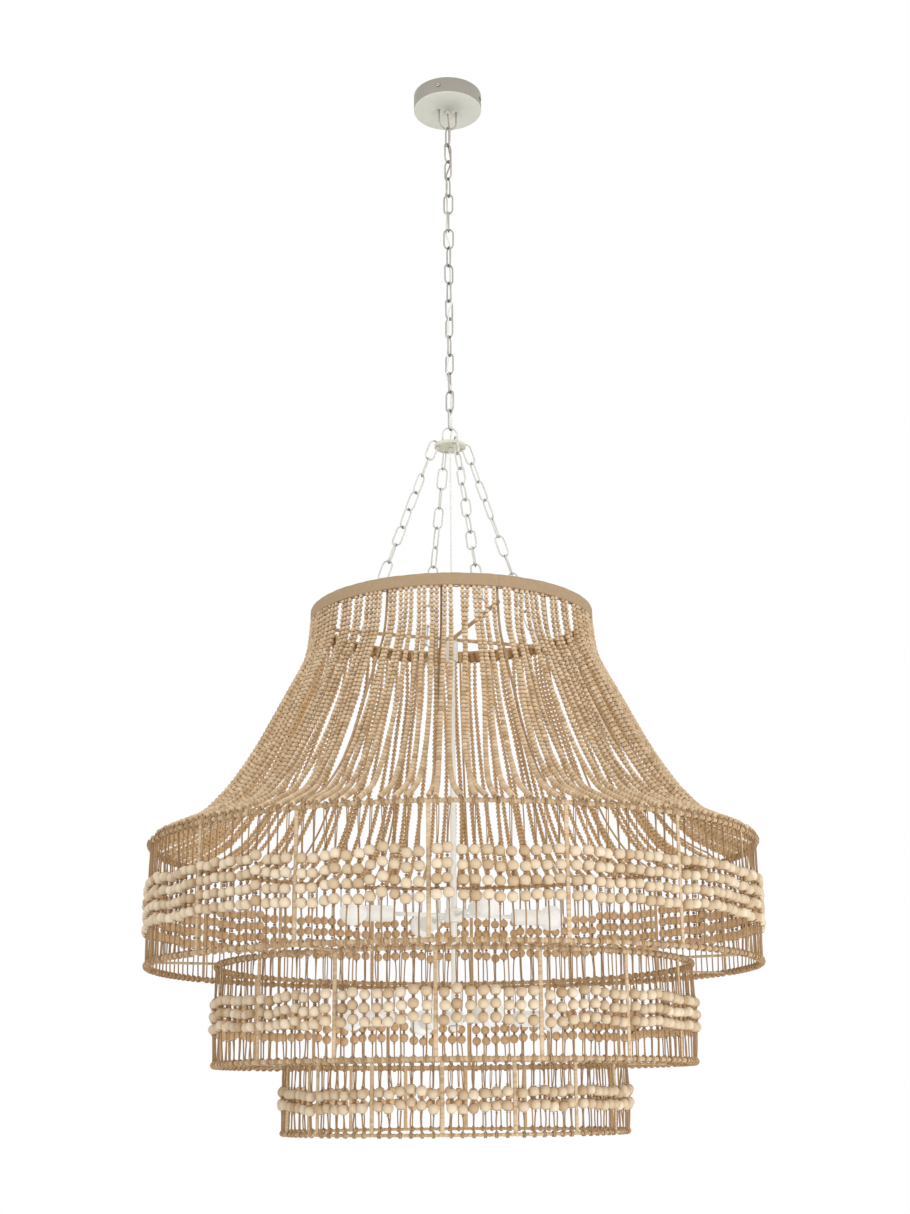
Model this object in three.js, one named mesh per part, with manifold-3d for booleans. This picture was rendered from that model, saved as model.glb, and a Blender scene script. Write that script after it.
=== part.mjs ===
// Beaded chandelier: ceiling canopy, link chain, hub plate with four chains, and a shade of beaded strings
// hung from hoops in a flared skirt and three stepped tiers, with two crosses of four globe bulbs inside.
// Millimetres, +Z up, origin at the middle of the canopy's top face on the ceiling; everything hangs below.
import * as THREE from "three";
import { mergeVertices } from "three/addons/utils/BufferGeometryUtils.js";
import Module from "manifold-3d";

const wasm = await Module();
wasm.setup();

// Clearances and overruns
const CLEARANCE = 0.3; // between pieces that touch
const FUSE = 0.35; // how far the wires of joined links sink into each other
const OVERRUN = 1; // how far a cut runs past the face it opens
const WELD = 1e-4;
const FLATNESS = 0.05; // corners nearer than this to a flat face are left out

// Canopy, its bracket and its screws
const CANOPY_RADIUS = 77;
const CANOPY_HEIGHT = 38;
const CANOPY_WALL = 1.6;
const BRACKET_THICKNESS = 2;
const TAB_WIDTH = 14;
const TAB_DROP = 27;
const SCREW_COUNT = 4;
const SCREW_TURN = THREE.MathUtils.degToRad(-34);
const SCREW_DEPTH = 19; // below the ceiling
const SCREW_SHANK_RADIUS = 2;
const SCREW_LENGTH = 9;
const SCREW_HEAD_RADIUS = 4.4;
const SCREW_HEAD_HEIGHT = 2.6;
const LOOP_WIDTH = 45;
const LOOP_DROP = 50;
const LOOP_WIRE = 4.3;
const LOOP_FOOT = 5; // length of a foot inside the canopy, through its nut
const NUT_RADIUS = 4.6;
const NUT_HEIGHT = 3;
const BUSHING_RADIUS = 4.6;
const BUSHING_FLANGE = 6.4;
const BUSHING_FLANGE_HEIGHT = 2;
const BUSHING_LENGTH = 8;

// Supply cord
const CORD_DIAMETER = 3.5;
const CORD_BEND = 16; // length in which the cord crosses a link or leaves the axis
const CORD_RISE = 14; // length of cord inside the canopy
const CORD_REACH = 46; // length of cord inside the stem

// Main chain
const LINK_COUNT = 17;
const LINK_LENGTH = 51.2;
const LINK_WIDTH = 24;
const LINK_WIRE = 3.8;
const LINKS_PER_CROSSING = 4; // links between two places where the cord passes through the chain

// Hub plate, its bail and the four chains below it
const BAIL_WIDTH = 37;
const BAIL_HEIGHT = 40;
const BAIL_WIRE = 3.5;
const HUB_RADIUS = 33.5;
const HUB_THICKNESS = 6;
const HUB_BORE_RADIUS = 4;
const CHAIN_HOLE_RADIUS = 4.5;
const CHAIN_HOLE_PLACE = 26;
const CHAIN_COUNT = 4;
const HUB_TO_BARS = 430;
const HANGER_LINKS = 11;
const HANGER_WIDTH = 23;
const HANGER_WIRE = 3.6;
const HANGER_LIFT = 5; // of a chain's first bend over the plate's middle, along the chain
const HANGER_PLACE = 195; // where a chain holds its bar, from the axis

// Cross bars and crown
const BAR_DIAMETER = 8;
const BAR_BOSS_RADIUS = 12;
const BARS_TO_CROWN = 27; // from the bars up to the lower edge of the crown
const CROWN_RADIUS = 292;
const CROWN_HEIGHT = 25;
const CROWN_WRAP = 2.6;
const CROWN_STRAP = 2.6;

// Shade: hoops, ribs and strips
const BAY_COUNT = 16;
const HOOP_WIRE = 5.5;
const HOOP_FACETS_PER_BAY = 2;
const STRIP_WIDTH = 7.5;
const STRIP_THICKNESS = 3;
const STRIP_SEAT = 0.4; // how far a strip is let into its hoop
const SPOKE_DIAMETER = 5;
const SPOKE_COUNT = 8;
const SKIRT_DROP = 466;
const UPPER_TIER_RADIUS = 592;
const UPPER_TIER_DROP = 226.4;
const UPPER_BEAD_PITCH = 24.6;
const UPPER_FIRST_BEAD = 76; // from the tier's top hoop down to its first row of beads
const MIDDLE_TIER_RADIUS = 459;
const MIDDLE_TIER_DROP = 181.2;
const MIDDLE_BEAD_PITCH = 22.5;
const MIDDLE_FIRST_BEAD = 72.6;
const LOWER_TIER_RADIUS = 327;
const LOWER_TIER_DROP = 123.4;
const LOWER_BEAD_PITCH = 23;
const LOWER_FIRST_BEAD = 52.7;
// How far out and how far down the skirt's strands have come, as shares of its flare and its drop
const FLARE_SHARES = [[0, 0], [0.035, 0.16], [0.32, 0.53], [0.66, 0.845], [1, 1]];

// Beads and their cords
const SMALL_BEAD = 10;
const LARGE_BEAD = 20;
const STRING_DIAMETER = 2.4;
const LASHING_DIAMETER = 3;
const SKIRT_SECTORS = 8;
const STRANDS_PER_SECTOR = 4;
const STRAND_SIDES = 3;
const BEAD_SIDES = 3;
const TIER_SECTORS = 4;
const TIERS = [
  {
    name: "upper_tier",
    radius: UPPER_TIER_RADIUS,
    drop: UPPER_TIER_DROP,
    beadPitch: UPPER_BEAD_PITCH,
    firstBead: UPPER_FIRST_BEAD,
    rows: 4,
    stringsPerBay: 2,
  },
  {
    name: "middle_tier",
    radius: MIDDLE_TIER_RADIUS,
    drop: MIDDLE_TIER_DROP,
    beadPitch: MIDDLE_BEAD_PITCH,
    firstBead: MIDDLE_FIRST_BEAD,
    rows: 3,
    stringsPerBay: 1,
  },
  {
    name: "lower_tier",
    radius: LOWER_TIER_RADIUS,
    drop: LOWER_TIER_DROP,
    beadPitch: LOWER_BEAD_PITCH,
    firstBead: LOWER_FIRST_BEAD,
    rows: 2,
    stringsPerBay: 1,
  },
];

// Lights
const STEM_DIAMETER = 12;
const STEM_BORE = 7.4;
const COUPLER_DIAMETER = 26;
const COUPLER_HEIGHT = 42;
const BARS_TO_UPPER_LIGHTS = 564;
const BARS_TO_LOWER_LIGHTS = 761;
const LIGHT_HUB_DIAMETER = 34;
const LIGHT_HUB_HEIGHT = 26;
const LIGHTS_PER_CROSS = 4;
const ARM_DIAMETER = 8;
const SOCKET_START = 122;
const SOCKET_END = 180;
const SOCKET_DIAMETER = 31;
const SOCKET_WALL = 2;
const BULB_DIAMETER = 50;
const BULB_CENTRE = 206;
const BULB_BASE_LENGTH = 27;
const FINIAL_DIAMETER = 18;
const FINIAL_HEIGHT = 12;
// Turns down a globe's side from its neck, as shares of the way to its far pole
const GLOBE_SHARES = [1, 2 / 3, 1 / 3, 1 / 6];

// Sides of the round pieces
const CANOPY_FACETS = 28;
const PLATE_FACETS = 20;
const COLLAR_FACETS = 12;
const STEM_FACETS = 10;
const BORE_FACETS = 8;
const SOCKET_FACETS = 8;
const CORD_SIDES = 8;
const FASTENER_FACETS = 6;
const WIRE_SIDES = 6;
const BAR_SIDES = 6;
const ARM_SIDES = 4;
const LINK_SIDES = 4;
const LINK_END_STEPS = 4;
const HANGER_SIDES = 3;
const HANGER_END_STEPS = 3;

// Places worked out from the sizes above, downwards from the ceiling
const bayAngle = (2 * Math.PI) / BAY_COUNT;
const bend = (wire, steps) => wire / 2 / Math.cos(Math.PI / (2 * steps));
const linkSeat = bend(LINK_WIRE, LINK_END_STEPS);
const loopSeat = bend(LOOP_WIRE, LINK_END_STEPS);
const bailSeat = bend(BAIL_WIRE, LINK_END_STEPS);
const linkReach = LINK_LENGTH - LINK_WIRE; // from bend to bend, on the wire's middle line
const fusedPitch = linkReach - 2 * linkSeat + FUSE;
const loopBendZ = -CANOPY_HEIGHT - LOOP_DROP + LOOP_WIRE / 2;
const firstLinkZ = loopBendZ + loopSeat + CLEARANCE + linkSeat - linkReach / 2;
const secondLinkZ = firstLinkZ - linkReach + 2 * linkSeat + CLEARANCE;
const innerLinkCount = LINK_COUNT - 2;
const lastInnerLinkZ = secondLinkZ - (innerLinkCount - 1) * fusedPitch;
const lastLinkZ = lastInnerLinkZ - linkReach + 2 * linkSeat + CLEARANCE;
const bailBendZ = lastLinkZ - linkReach / 2 + linkSeat + CLEARANCE + bailSeat;
const hubTopZ = bailBendZ - BAIL_HEIGHT;
const hubMiddleZ = hubTopZ - HUB_THICKNESS / 2;
const barsZ = hubMiddleZ - HUB_TO_BARS;
const crownBottomZ = barsZ + BARS_TO_CROWN;
const stripInset = (HOOP_WIRE - STRIP_THICKNESS) / 2; // the strips are flush with their hoops inside
// The strings run past the strips' outer faces
const stringOffset = STRIP_THICKNESS / 2 - stripInset + LASHING_DIAMETER / 2 + CLEARANCE;
const strapOuter = CROWN_RADIUS - CROWN_WRAP - CLEARANCE;
const strapInner = strapOuter - CROWN_STRAP;
const ribTopRadius = strapInner - STRIP_THICKNESS / 2 + CLEARANCE;
const strandTopRadius = ribTopRadius + (STRIP_THICKNESS + LASHING_DIAMETER) / 2 + 3 * CLEARANCE;
const tierTops = [];
let nextTop = crownBottomZ - SKIRT_DROP;
for (const tier of TIERS) {
  tierTops.push(nextTop);
  nextTop -= tier.drop;
}
const stemTopZ = barsZ - BAR_DIAMETER / 2 - CLEARANCE;
const upperLightsZ = barsZ - BARS_TO_UPPER_LIGHTS;
const lowerLightsZ = barsZ - BARS_TO_LOWER_LIGHTS;
const stemBottomZ = lowerLightsZ - LIGHT_HUB_HEIGHT / 2 - CLEARANCE;

// Finishes
function finish(color, roughness, metalness) {
  return new THREE.MeshStandardMaterial({ color, roughness, metalness });
}
const creamPaint = finish(0xe4e3d6, 0.5, 0.1);
const greyMetal = finish(0xc9c6bb, 0.45, 0.5);
const zincScrew = finish(0xa8a49a, 0.35, 0.9);
const clearCord = finish(0xe0dcd4, 0.3, 0);
const wovenJute = finish(0xcdb088, 0.9, 0);
const wrappedWire = finish(0xc8a578, 0.85, 0);
const paleWood = finish(0xe3ca9f, 0.7, 0);
const whitePaint = finish(0xefefec, 0.5, 0.1);
const frostedGlass = finish(0xf7f7f4, 0.4, 0);

// Solids: from a closed geometry to a body that can be joined or cut, and back
function solid(geometry) {
  const bare = geometry.index ? geometry.toNonIndexed() : geometry.clone();
  bare.deleteAttribute("normal");
  bare.deleteAttribute("uv");
  const merged = mergeVertices(bare, WELD);
  return new wasm.Manifold(
    new wasm.Mesh({
      numProp: 3,
      vertProperties: merged.attributes.position.array,
      triVerts: new Uint32Array(merged.index.array),
    }),
  );
}

function geometryOf(body) {
  const mesh = body.asOriginal().simplify(FLATNESS).getMesh();
  const geometry = new THREE.BufferGeometry();
  geometry.setAttribute("position", new THREE.BufferAttribute(mesh.vertProperties, 3));
  geometry.setIndex(new THREE.BufferAttribute(mesh.triVerts, 1));
  geometry.computeVertexNormals();
  return geometry;
}

const joined = (geometries) => geometries.map(solid).reduce((sum, one) => sum.add(one));
const without = (body, geometries) => geometries.map(solid).reduce((rest, one) => rest.subtract(one), body);

const chandelier = new THREE.Group();
function addPiece(name, shape, material) {
  const mesh = new THREE.Mesh(shape instanceof THREE.BufferGeometry ? shape : geometryOf(shape), material);
  mesh.name = name;
  chandelier.add(mesh);
}

// Places round the axis: angle zero faces -Y and grows towards +X
const outward = (angle) => new THREE.Vector3(Math.sin(angle), -Math.cos(angle), 0);
const at = (radius, angle, z) => outward(angle).multiplyScalar(radius).setZ(z);
// Turns a shape made on the +X side to face the angle
const faceTo = (geometry, angle) => geometry.rotateZ(angle - Math.PI / 2);

// Revolved shape: the profile's points are [radius, height], outer side rising
function revolved(profile, segments) {
  const points = profile.map(([radius, height]) => new THREE.Vector2(radius, height));
  return new THREE.LatheGeometry(points, segments).rotateX(Math.PI / 2);
}

// Revolved band between two radii and two heights
function band(inner, outer, bottom, top, segments) {
  return revolved([[inner, bottom], [outer, bottom], [outer, top], [inner, top], [inner, bottom]], segments);
}

// Upright disc or rod between two heights
function post(radius, bottom, top, segments) {
  return revolved([[0, bottom], [radius, bottom], [radius, top], [0, top]], segments);
}

// Revolved shape laid along +X, its profile's heights becoming distances from the axis
function lyingRevolved(profile, segments) {
  return revolved(profile, segments).rotateY(Math.PI / 2);
}

// Wire bent in one plane: a constant round section through the points, mitred at each bend.
// The points lie in the XZ plane, and a corner of the section faces the inside of the bends.
function bentWire(points, diameter, sides, isClosed) {
  const count = points.length;
  const positions = [];
  const corners = [];
  const sideOf = (from, to) => new THREE.Vector2(to[1] - from[1], from[0] - to[0]).normalize();
  points.forEach((point, i) => {
    const before = i > 0 || isClosed ? points[(i + count - 1) % count] : null;
    const after = i < count - 1 || isClosed ? points[(i + 1) % count] : null;
    const sideBefore = before ? sideOf(before, point) : sideOf(point, after);
    const sideAfter = after ? sideOf(point, after) : sideBefore;
    const mitre = sideBefore.clone().add(sideAfter).normalize();
    const reach = diameter / 2 / mitre.dot(sideBefore);
    for (let k = 0; k < sides; k++) {
      const turn = Math.PI + (2 * Math.PI * k) / sides;
      const across = Math.cos(turn) * reach;
      const aside = (Math.sin(turn) * diameter) / 2;
      positions.push(point[0] + mitre.x * across, aside, point[1] + mitre.y * across);
    }
  });
  const rings = isClosed ? count : count - 1;
  for (let i = 0; i < rings; i++) {
    const ring = i * sides;
    const next = ((i + 1) % count) * sides;
    for (let k = 0; k < sides; k++) {
      const beside = (k + 1) % sides;
      corners.push(ring + k, ring + beside, next + k, ring + beside, next + beside, next + k);
    }
  }
  if (!isClosed) {
    const last = (count - 1) * sides;
    for (let k = 1; k < sides - 1; k++) {
      corners.push(0, k + 1, k, last, last + k, last + k + 1);
    }
  }
  const geometry = new THREE.BufferGeometry();
  geometry.setAttribute("position", new THREE.Float32BufferAttribute(positions, 3));
  geometry.setIndex(corners);
  return geometry;
}

// Half circle of points about [0, z], from +X over the far end to -X; an odd count of steps keeps a flat end
function halfCircle(radius, z, steps, direction) {
  const highest = Math.sin((Math.PI * Math.floor(steps / 2)) / steps);
  return Array.from({ length: steps + 1 }, (_, i) => {
    const angle = (Math.PI * i) / steps;
    return [direction * radius * Math.cos(angle), z + (direction * radius * Math.sin(angle)) / highest];
  });
}

// Chain link standing in the XZ plane with its middle at the origin
function link(length, width, wire, endSteps, sides) {
  const radius = (width - wire) / 2;
  const straight = (length - wire) / 2 - radius;
  const ends = [...halfCircle(radius, straight, endSteps, 1), ...halfCircle(radius, -straight, endSteps, -1)];
  return bentWire(ends, wire, sides, true);
}

// Tube of a few sides along a curve, with closed ends
function tube(curve, diameter, sides, steps) {
  const section = new THREE.Shape(
    Array.from({ length: sides }, (_, i) => {
      const angle = (2 * Math.PI * i) / sides;
      return new THREE.Vector2(Math.cos(angle), Math.sin(angle)).multiplyScalar(diameter / 2);
    }),
  );
  return new THREE.ExtrudeGeometry(section, { steps, bevelEnabled: false, extrudePath: curve });
}

// Path that turns at its own points, so that a tube along it has one ring at each
class CornerPath extends THREE.Curve {
  constructor(points) {
    super();
    this.points = points;
  }
  getPoint(share, target = new THREE.Vector3()) {
    const place = share * (this.points.length - 1);
    const i = Math.min(Math.floor(place), this.points.length - 2);
    return target.copy(this.points[i]).lerp(this.points[i + 1], place - i);
  }
  getPointAt(share, target) {
    return this.getPoint(share, target);
  }
  getTangentAt(share, target = new THREE.Vector3()) {
    const i = Math.round(share * (this.points.length - 1));
    const here = this.points[i];
    const before = this.points[Math.max(i - 1, 0)];
    const after = this.points[Math.min(i + 1, this.points.length - 1)];
    const toward = here.clone().sub(before).normalize();
    return target.copy(after).sub(here).normalize().add(toward).normalize();
  }
}

// Hoop of three-sided section whose facets have their middles on the strips. Its flat side faces the strips.
function hoop(radius, z, flatSide) {
  const half = HOOP_WIRE / 2;
  const facets = BAY_COUNT * HOOP_FACETS_PER_BAY;
  const spread = 1 / Math.cos(Math.PI / facets);
  const flat = z + flatSide * half;
  const tip = [radius, z - flatSide * half];
  const corners = [[radius + half, flat], tip, [radius - half, flat], [radius + half, flat]];
  const section = corners.map(([x, y]) => [x * spread, y]);
  return revolved(flatSide < 0 ? section : section.reverse(), facets).rotateZ(Math.PI / facets);
}

function makeCanopy() {
  const wall = CANOPY_RADIUS - CANOPY_WALL;
  const face = -CANOPY_HEIGHT + CANOPY_WALL;
  const shellProfile = [
    [BUSHING_RADIUS + CLEARANCE, -CANOPY_HEIGHT],
    [CANOPY_RADIUS - CANOPY_WALL, -CANOPY_HEIGHT],
    [CANOPY_RADIUS, face],
    [CANOPY_RADIUS, 0],
    [wall, 0],
    [wall, face],
    [BUSHING_RADIUS + CLEARANCE, face],
    [BUSHING_RADIUS + CLEARANCE, -CANOPY_HEIGHT],
  ];
  const screwHoleRadius = SCREW_SHANK_RADIUS + CLEARANCE;
  const screwStep = (2 * Math.PI) / SCREW_COUNT;
  const screwAngles = Array.from({ length: SCREW_COUNT }, (_, i) => SCREW_TURN + i * screwStep);
  const tabOuter = wall - CLEARANCE;
  const tabInner = tabOuter - BRACKET_THICKNESS;
  const screwHoles = screwAngles.map((angle) => {
    const start = tabInner - OVERRUN;
    const end = CANOPY_RADIUS + OVERRUN;
    const profile = [[0, start], [screwHoleRadius, start], [screwHoleRadius, end], [0, end]];
    const hole = lyingRevolved(profile, FASTENER_FACETS);
    return faceTo(hole.translate(0, 0, -SCREW_DEPTH), angle);
  });
  const footPlace = (LOOP_WIDTH - LOOP_WIRE) / 2;
  const footHoleRadius = LOOP_WIRE / 2 + 2 * CLEARANCE;
  const footHoles = [-footPlace, footPlace].map((x) =>
    post(footHoleRadius, -CANOPY_HEIGHT - OVERRUN, face + OVERRUN, FASTENER_FACETS).translate(x, 0, 0),
  );
  const shell = solid(revolved(shellProfile, CANOPY_FACETS));
  addPiece("canopy_cover", without(shell, [...screwHoles, ...footHoles]), creamPaint);

  // The bracket is a plate on the ceiling with four tabs turned down behind the canopy's wall
  const discRadius = tabInner - CLEARANCE;
  const tabs = screwAngles.map((angle) => {
    const tab = new THREE.BoxGeometry(BRACKET_THICKNESS, TAB_WIDTH, TAB_DROP);
    return faceTo(tab.translate(tabOuter - BRACKET_THICKNESS, 0, -TAB_DROP / 2), angle);
  });
  const plate = joined([post(discRadius, -BRACKET_THICKNESS, 0, PLATE_FACETS), ...tabs]);
  addPiece("ceiling_bracket", without(plate, screwHoles), greyMetal);

  screwAngles.forEach((angle, i) => {
    const headSeat = CANOPY_RADIUS + CLEARANCE;
    const tip = headSeat - SCREW_LENGTH;
    const profile = [
      [0, tip],
      [SCREW_SHANK_RADIUS, tip],
      [SCREW_SHANK_RADIUS, headSeat],
      [SCREW_HEAD_RADIUS, headSeat],
      [SCREW_HEAD_RADIUS, headSeat + SCREW_HEAD_HEIGHT / 2],
      [SCREW_HEAD_RADIUS / 2, headSeat + SCREW_HEAD_HEIGHT],
      [0, headSeat + SCREW_HEAD_HEIGHT],
    ];
    const screw = lyingRevolved(profile, FASTENER_FACETS).translate(0, 0, -SCREW_DEPTH);
    addPiece(`canopy_screw_${i + 1}`, faceTo(screw, angle), zincScrew);
  });

  // The loop's feet pass through the canopy's face and are held by a nut inside
  const nutSeat = face + CLEARANCE;
  const footTop = nutSeat + LOOP_FOOT;
  const arch = halfCircle(footPlace, loopBendZ + footPlace, 2 * LINK_END_STEPS, -1);
  const loopPoints = [[-footPlace, footTop], ...arch, [footPlace, footTop]];
  const loopWire = bentWire(loopPoints, LOOP_WIRE, WIRE_SIDES, false);
  const nuts = [-footPlace, footPlace].map((x) =>
    post(NUT_RADIUS, nutSeat, nutSeat + NUT_HEIGHT, FASTENER_FACETS).translate(x, 0, 0),
  );
  addPiece("canopy_loop", joined([loopWire, ...nuts]), greyMetal);

  const bushingBore = CORD_DIAMETER / 2 + CLEARANCE;
  const bushingProfile = [
    [bushingBore, -CANOPY_HEIGHT - BUSHING_LENGTH],
    [BUSHING_RADIUS, -CANOPY_HEIGHT - BUSHING_LENGTH],
    [BUSHING_RADIUS, face + CLEARANCE],
    [BUSHING_FLANGE, face + CLEARANCE],
    [BUSHING_FLANGE, face + CLEARANCE + BUSHING_FLANGE_HEIGHT],
    [bushingBore, face + CLEARANCE + BUSHING_FLANGE_HEIGHT],
    [bushingBore, -CANOPY_HEIGHT - BUSHING_LENGTH],
  ];
  addPiece("cord_bushing", revolved(bushingProfile, BORE_FACETS), clearCord);
}

// Odd links stand across the loop and the bail, in the YZ plane, and even ones in the XZ plane
function makeChain() {
  const chainLink = (turn, z) =>
    link(LINK_LENGTH, LINK_WIDTH, LINK_WIRE, LINK_END_STEPS, LINK_SIDES).rotateZ(turn).translate(0, 0, z);
  addPiece("chain_link_upper", chainLink(Math.PI / 2, firstLinkZ), greyMetal);
  const inner = Array.from({ length: innerLinkCount }, (_, i) =>
    chainLink((i * Math.PI) / 2, secondLinkZ - i * fusedPitch),
  );
  addPiece("chain_links", joined(inner), greyMetal);
  addPiece("chain_link_lower", chainLink(Math.PI / 2, lastLinkZ), greyMetal);
}

// The cord leaves the bushing on the axis and runs down beside the links' bends in one quarter of the chain.
// Now and then it passes through two links into the opposite quarter. It ends in the stem, below the hub plate.
function makeCord() {
  const aside = (LINK_WIRE + CORD_DIAMETER) / 2 + 2 * CLEARANCE;
  let x = aside;
  let y = aside;
  const points = [
    new THREE.Vector3(0, 0, -CANOPY_HEIGHT + CORD_RISE),
    new THREE.Vector3(0, 0, -CANOPY_HEIGHT - BUSHING_LENGTH - CORD_DIAMETER),
    new THREE.Vector3(x, y, loopBendZ + 2 * loopSeat + CORD_BEND),
  ];
  const linkZ = (i) => secondLinkZ - (i - 1) * fusedPitch;
  for (let i = 1; i < LINK_COUNT - 2; i += LINKS_PER_CROSSING) {
    points.push(new THREE.Vector3(x, y, linkZ(i) + CORD_BEND / 2));
    y = -y;
    points.push(new THREE.Vector3(x, y, linkZ(i) - CORD_BEND / 2));
    points.push(new THREE.Vector3(x, y, linkZ(i + 1) + CORD_BEND / 2));
    x = -x;
    points.push(new THREE.Vector3(x, y, linkZ(i + 1) - CORD_BEND / 2));
  }
  points.push(new THREE.Vector3(x, y, lastLinkZ - linkReach / 2));
  points.push(new THREE.Vector3(0, 0, hubTopZ + CORD_BEND / 2));
  points.push(new THREE.Vector3(0, 0, barsZ + BAR_DIAMETER));
  points.push(new THREE.Vector3(0, 0, stemTopZ - CORD_REACH));
  const cord = tube(new CornerPath(points), CORD_DIAMETER, CORD_SIDES, points.length - 1);
  addPiece("supply_cord", cord, clearCord);
}

function makeHub() {
  const place = (BAIL_WIDTH - BAIL_WIRE) / 2;
  const arch = halfCircle(place, bailBendZ - place, 2 * LINK_END_STEPS, 1);
  const foot = hubTopZ + CLEARANCE;
  const bail = bentWire([[place, foot], ...arch, [-place, foot]], BAIL_WIRE, WIRE_SIDES, false);
  addPiece("hub_bail", bail, greyMetal);
  const bottom = hubTopZ - HUB_THICKNESS;
  const drilled = (radius) => post(radius, bottom - OVERRUN, hubTopZ + OVERRUN, BORE_FACETS);
  const holes = [drilled(HUB_BORE_RADIUS)];
  for (let i = 0; i < CHAIN_COUNT; i++) {
    const hole = drilled(CHAIN_HOLE_RADIUS).translate(CHAIN_HOLE_PLACE, 0, 0);
    holes.push(faceTo(hole, (2 * Math.PI * i) / CHAIN_COUNT));
  }
  const plate = solid(post(HUB_RADIUS, bottom, hubTopZ, PLATE_FACETS));
  addPiece("hub_plate", without(plate, holes), creamPaint);
}

// Each chain's first link passes through a hole and over the plate's rim, and its last goes under a cross bar.
// The links' lengths follow from the distance, and each turns a little past square to the one above.
function makeHangers() {
  const halfWidth = (HANGER_WIDTH - HANGER_WIRE) / 2;
  const plateLean = Math.atan2(HANGER_PLACE - CHAIN_HOLE_PLACE - halfWidth, HUB_TO_BARS);
  const highX = CHAIN_HOLE_PLACE + halfWidth * Math.cos(plateLean) - HANGER_LIFT * Math.sin(plateLean);
  const highZ = hubMiddleZ + halfWidth * Math.sin(plateLean) + HANGER_LIFT * Math.cos(plateLean);
  const lowZ = barsZ - (BAR_DIAMETER + HANGER_WIRE) / 2 - CLEARANCE;
  const lean = Math.atan2(HANGER_PLACE - highX, highZ - lowZ);
  const span = Math.hypot(HANGER_PLACE - highX, highZ - lowZ);
  const reach = (span + (HANGER_LINKS - 1) * (HANGER_WIRE - FUSE)) / HANGER_LINKS;
  const pitch = (span - reach) / (HANGER_LINKS - 1);
  const turn = (Math.PI / 2) * (1 + 1 / (HANGER_LINKS - 1));
  for (let chain = 0; chain < CHAIN_COUNT; chain++) {
    const links = Array.from({ length: HANGER_LINKS }, (_, i) => {
      const down = reach / 2 + i * pitch;
      const placed = link(reach + HANGER_WIRE, HANGER_WIDTH, HANGER_WIRE, HANGER_END_STEPS, HANGER_SIDES)
        .rotateZ(i * turn)
        .rotateY(-lean)
        .translate(highX + down * Math.sin(lean), 0, highZ - down * Math.cos(lean));
      return faceTo(placed, (2 * Math.PI * chain) / CHAIN_COUNT);
    });
    addPiece(`suspension_chain_${chain + 1}`, joined(links), greyMetal);
  }
}

// Points [radius, height] down the flared skirt between a top and an end
function flarePoints(topRadius, topZ, endRadius, endZ) {
  return FLARE_SHARES.map(([out, down]) => [
    topRadius + out * (endRadius - topRadius),
    topZ + down * (endZ - topZ),
  ]);
}

// Flat strip bent along points [radius, height] in the XZ plane, as wide as STRIP_WIDTH across it
function bentStrip(points) {
  const side = (offset) =>
    points.map((point, i) => {
      const before = points[Math.max(i - 1, 0)];
      const after = points[Math.min(i + 1, points.length - 1)];
      const along = new THREE.Vector2(after[0] - before[0], after[1] - before[1]).normalize();
      return new THREE.Vector2(point[0] - along.y * offset, point[1] + along.x * offset);
    });
  const outline = new THREE.Shape([...side(STRIP_THICKNESS / 2), ...side(-STRIP_THICKNESS / 2).reverse()]);
  const strip = new THREE.ExtrudeGeometry(outline, { depth: STRIP_WIDTH, bevelEnabled: false });
  return strip.rotateX(Math.PI / 2).translate(0, STRIP_WIDTH / 2, 0);
}

function makeCrown() {
  const top = crownBottomZ + CROWN_HEIGHT;
  const segments = BAY_COUNT * HOOP_FACETS_PER_BAY;
  const wrap = band(CROWN_RADIUS - CROWN_WRAP, CROWN_RADIUS, crownBottomZ, top, segments);
  addPiece("crown_wrap", wrap, wovenJute);
  const ribEnd = TIERS[0].radius - STRIP_THICKNESS / 2 - 2 * CLEARANCE;
  const ribFlare = flarePoints(ribTopRadius, crownBottomZ, ribEnd, tierTops[0]);
  const ribPoints = [[ribTopRadius, top - STRIP_THICKNESS], ...ribFlare];
  const pieces = [band(strapInner, strapOuter, crownBottomZ, top, segments)];
  for (let bay = 0; bay < BAY_COUNT; bay++) {
    pieces.push(faceTo(bentStrip(ribPoints), bay * bayAngle));
  }
  addPiece("skirt_frame", joined(pieces), wrappedWire);

  // The bars stop at the ribs, and carry a boss where they cross, which the cord passes through
  const [first, second] = ribFlare;
  const ribRadius = first[0] + ((second[0] - first[0]) * BARS_TO_CROWN) / (first[1] - second[1]);
  const reach = ribRadius - STRIP_THICKNESS / 2 - 2 * CLEARANCE;
  const half = BAR_DIAMETER / 2;
  const barProfile = [[0, -reach], [half, -reach], [half, reach], [0, reach]];
  const bar = () => lyingRevolved(barProfile, BAR_SIDES).translate(0, 0, barsZ);
  const boss = post(BAR_BOSS_RADIUS, barsZ - half, barsZ + half, COLLAR_FACETS);
  const bore = post(HUB_BORE_RADIUS, barsZ - BAR_DIAMETER, barsZ + BAR_DIAMETER, BORE_FACETS);
  addPiece("cross_bars", without(joined([bar(), bar().rotateZ(Math.PI / 2), boss]), [bore]), wovenJute);
}

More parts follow.
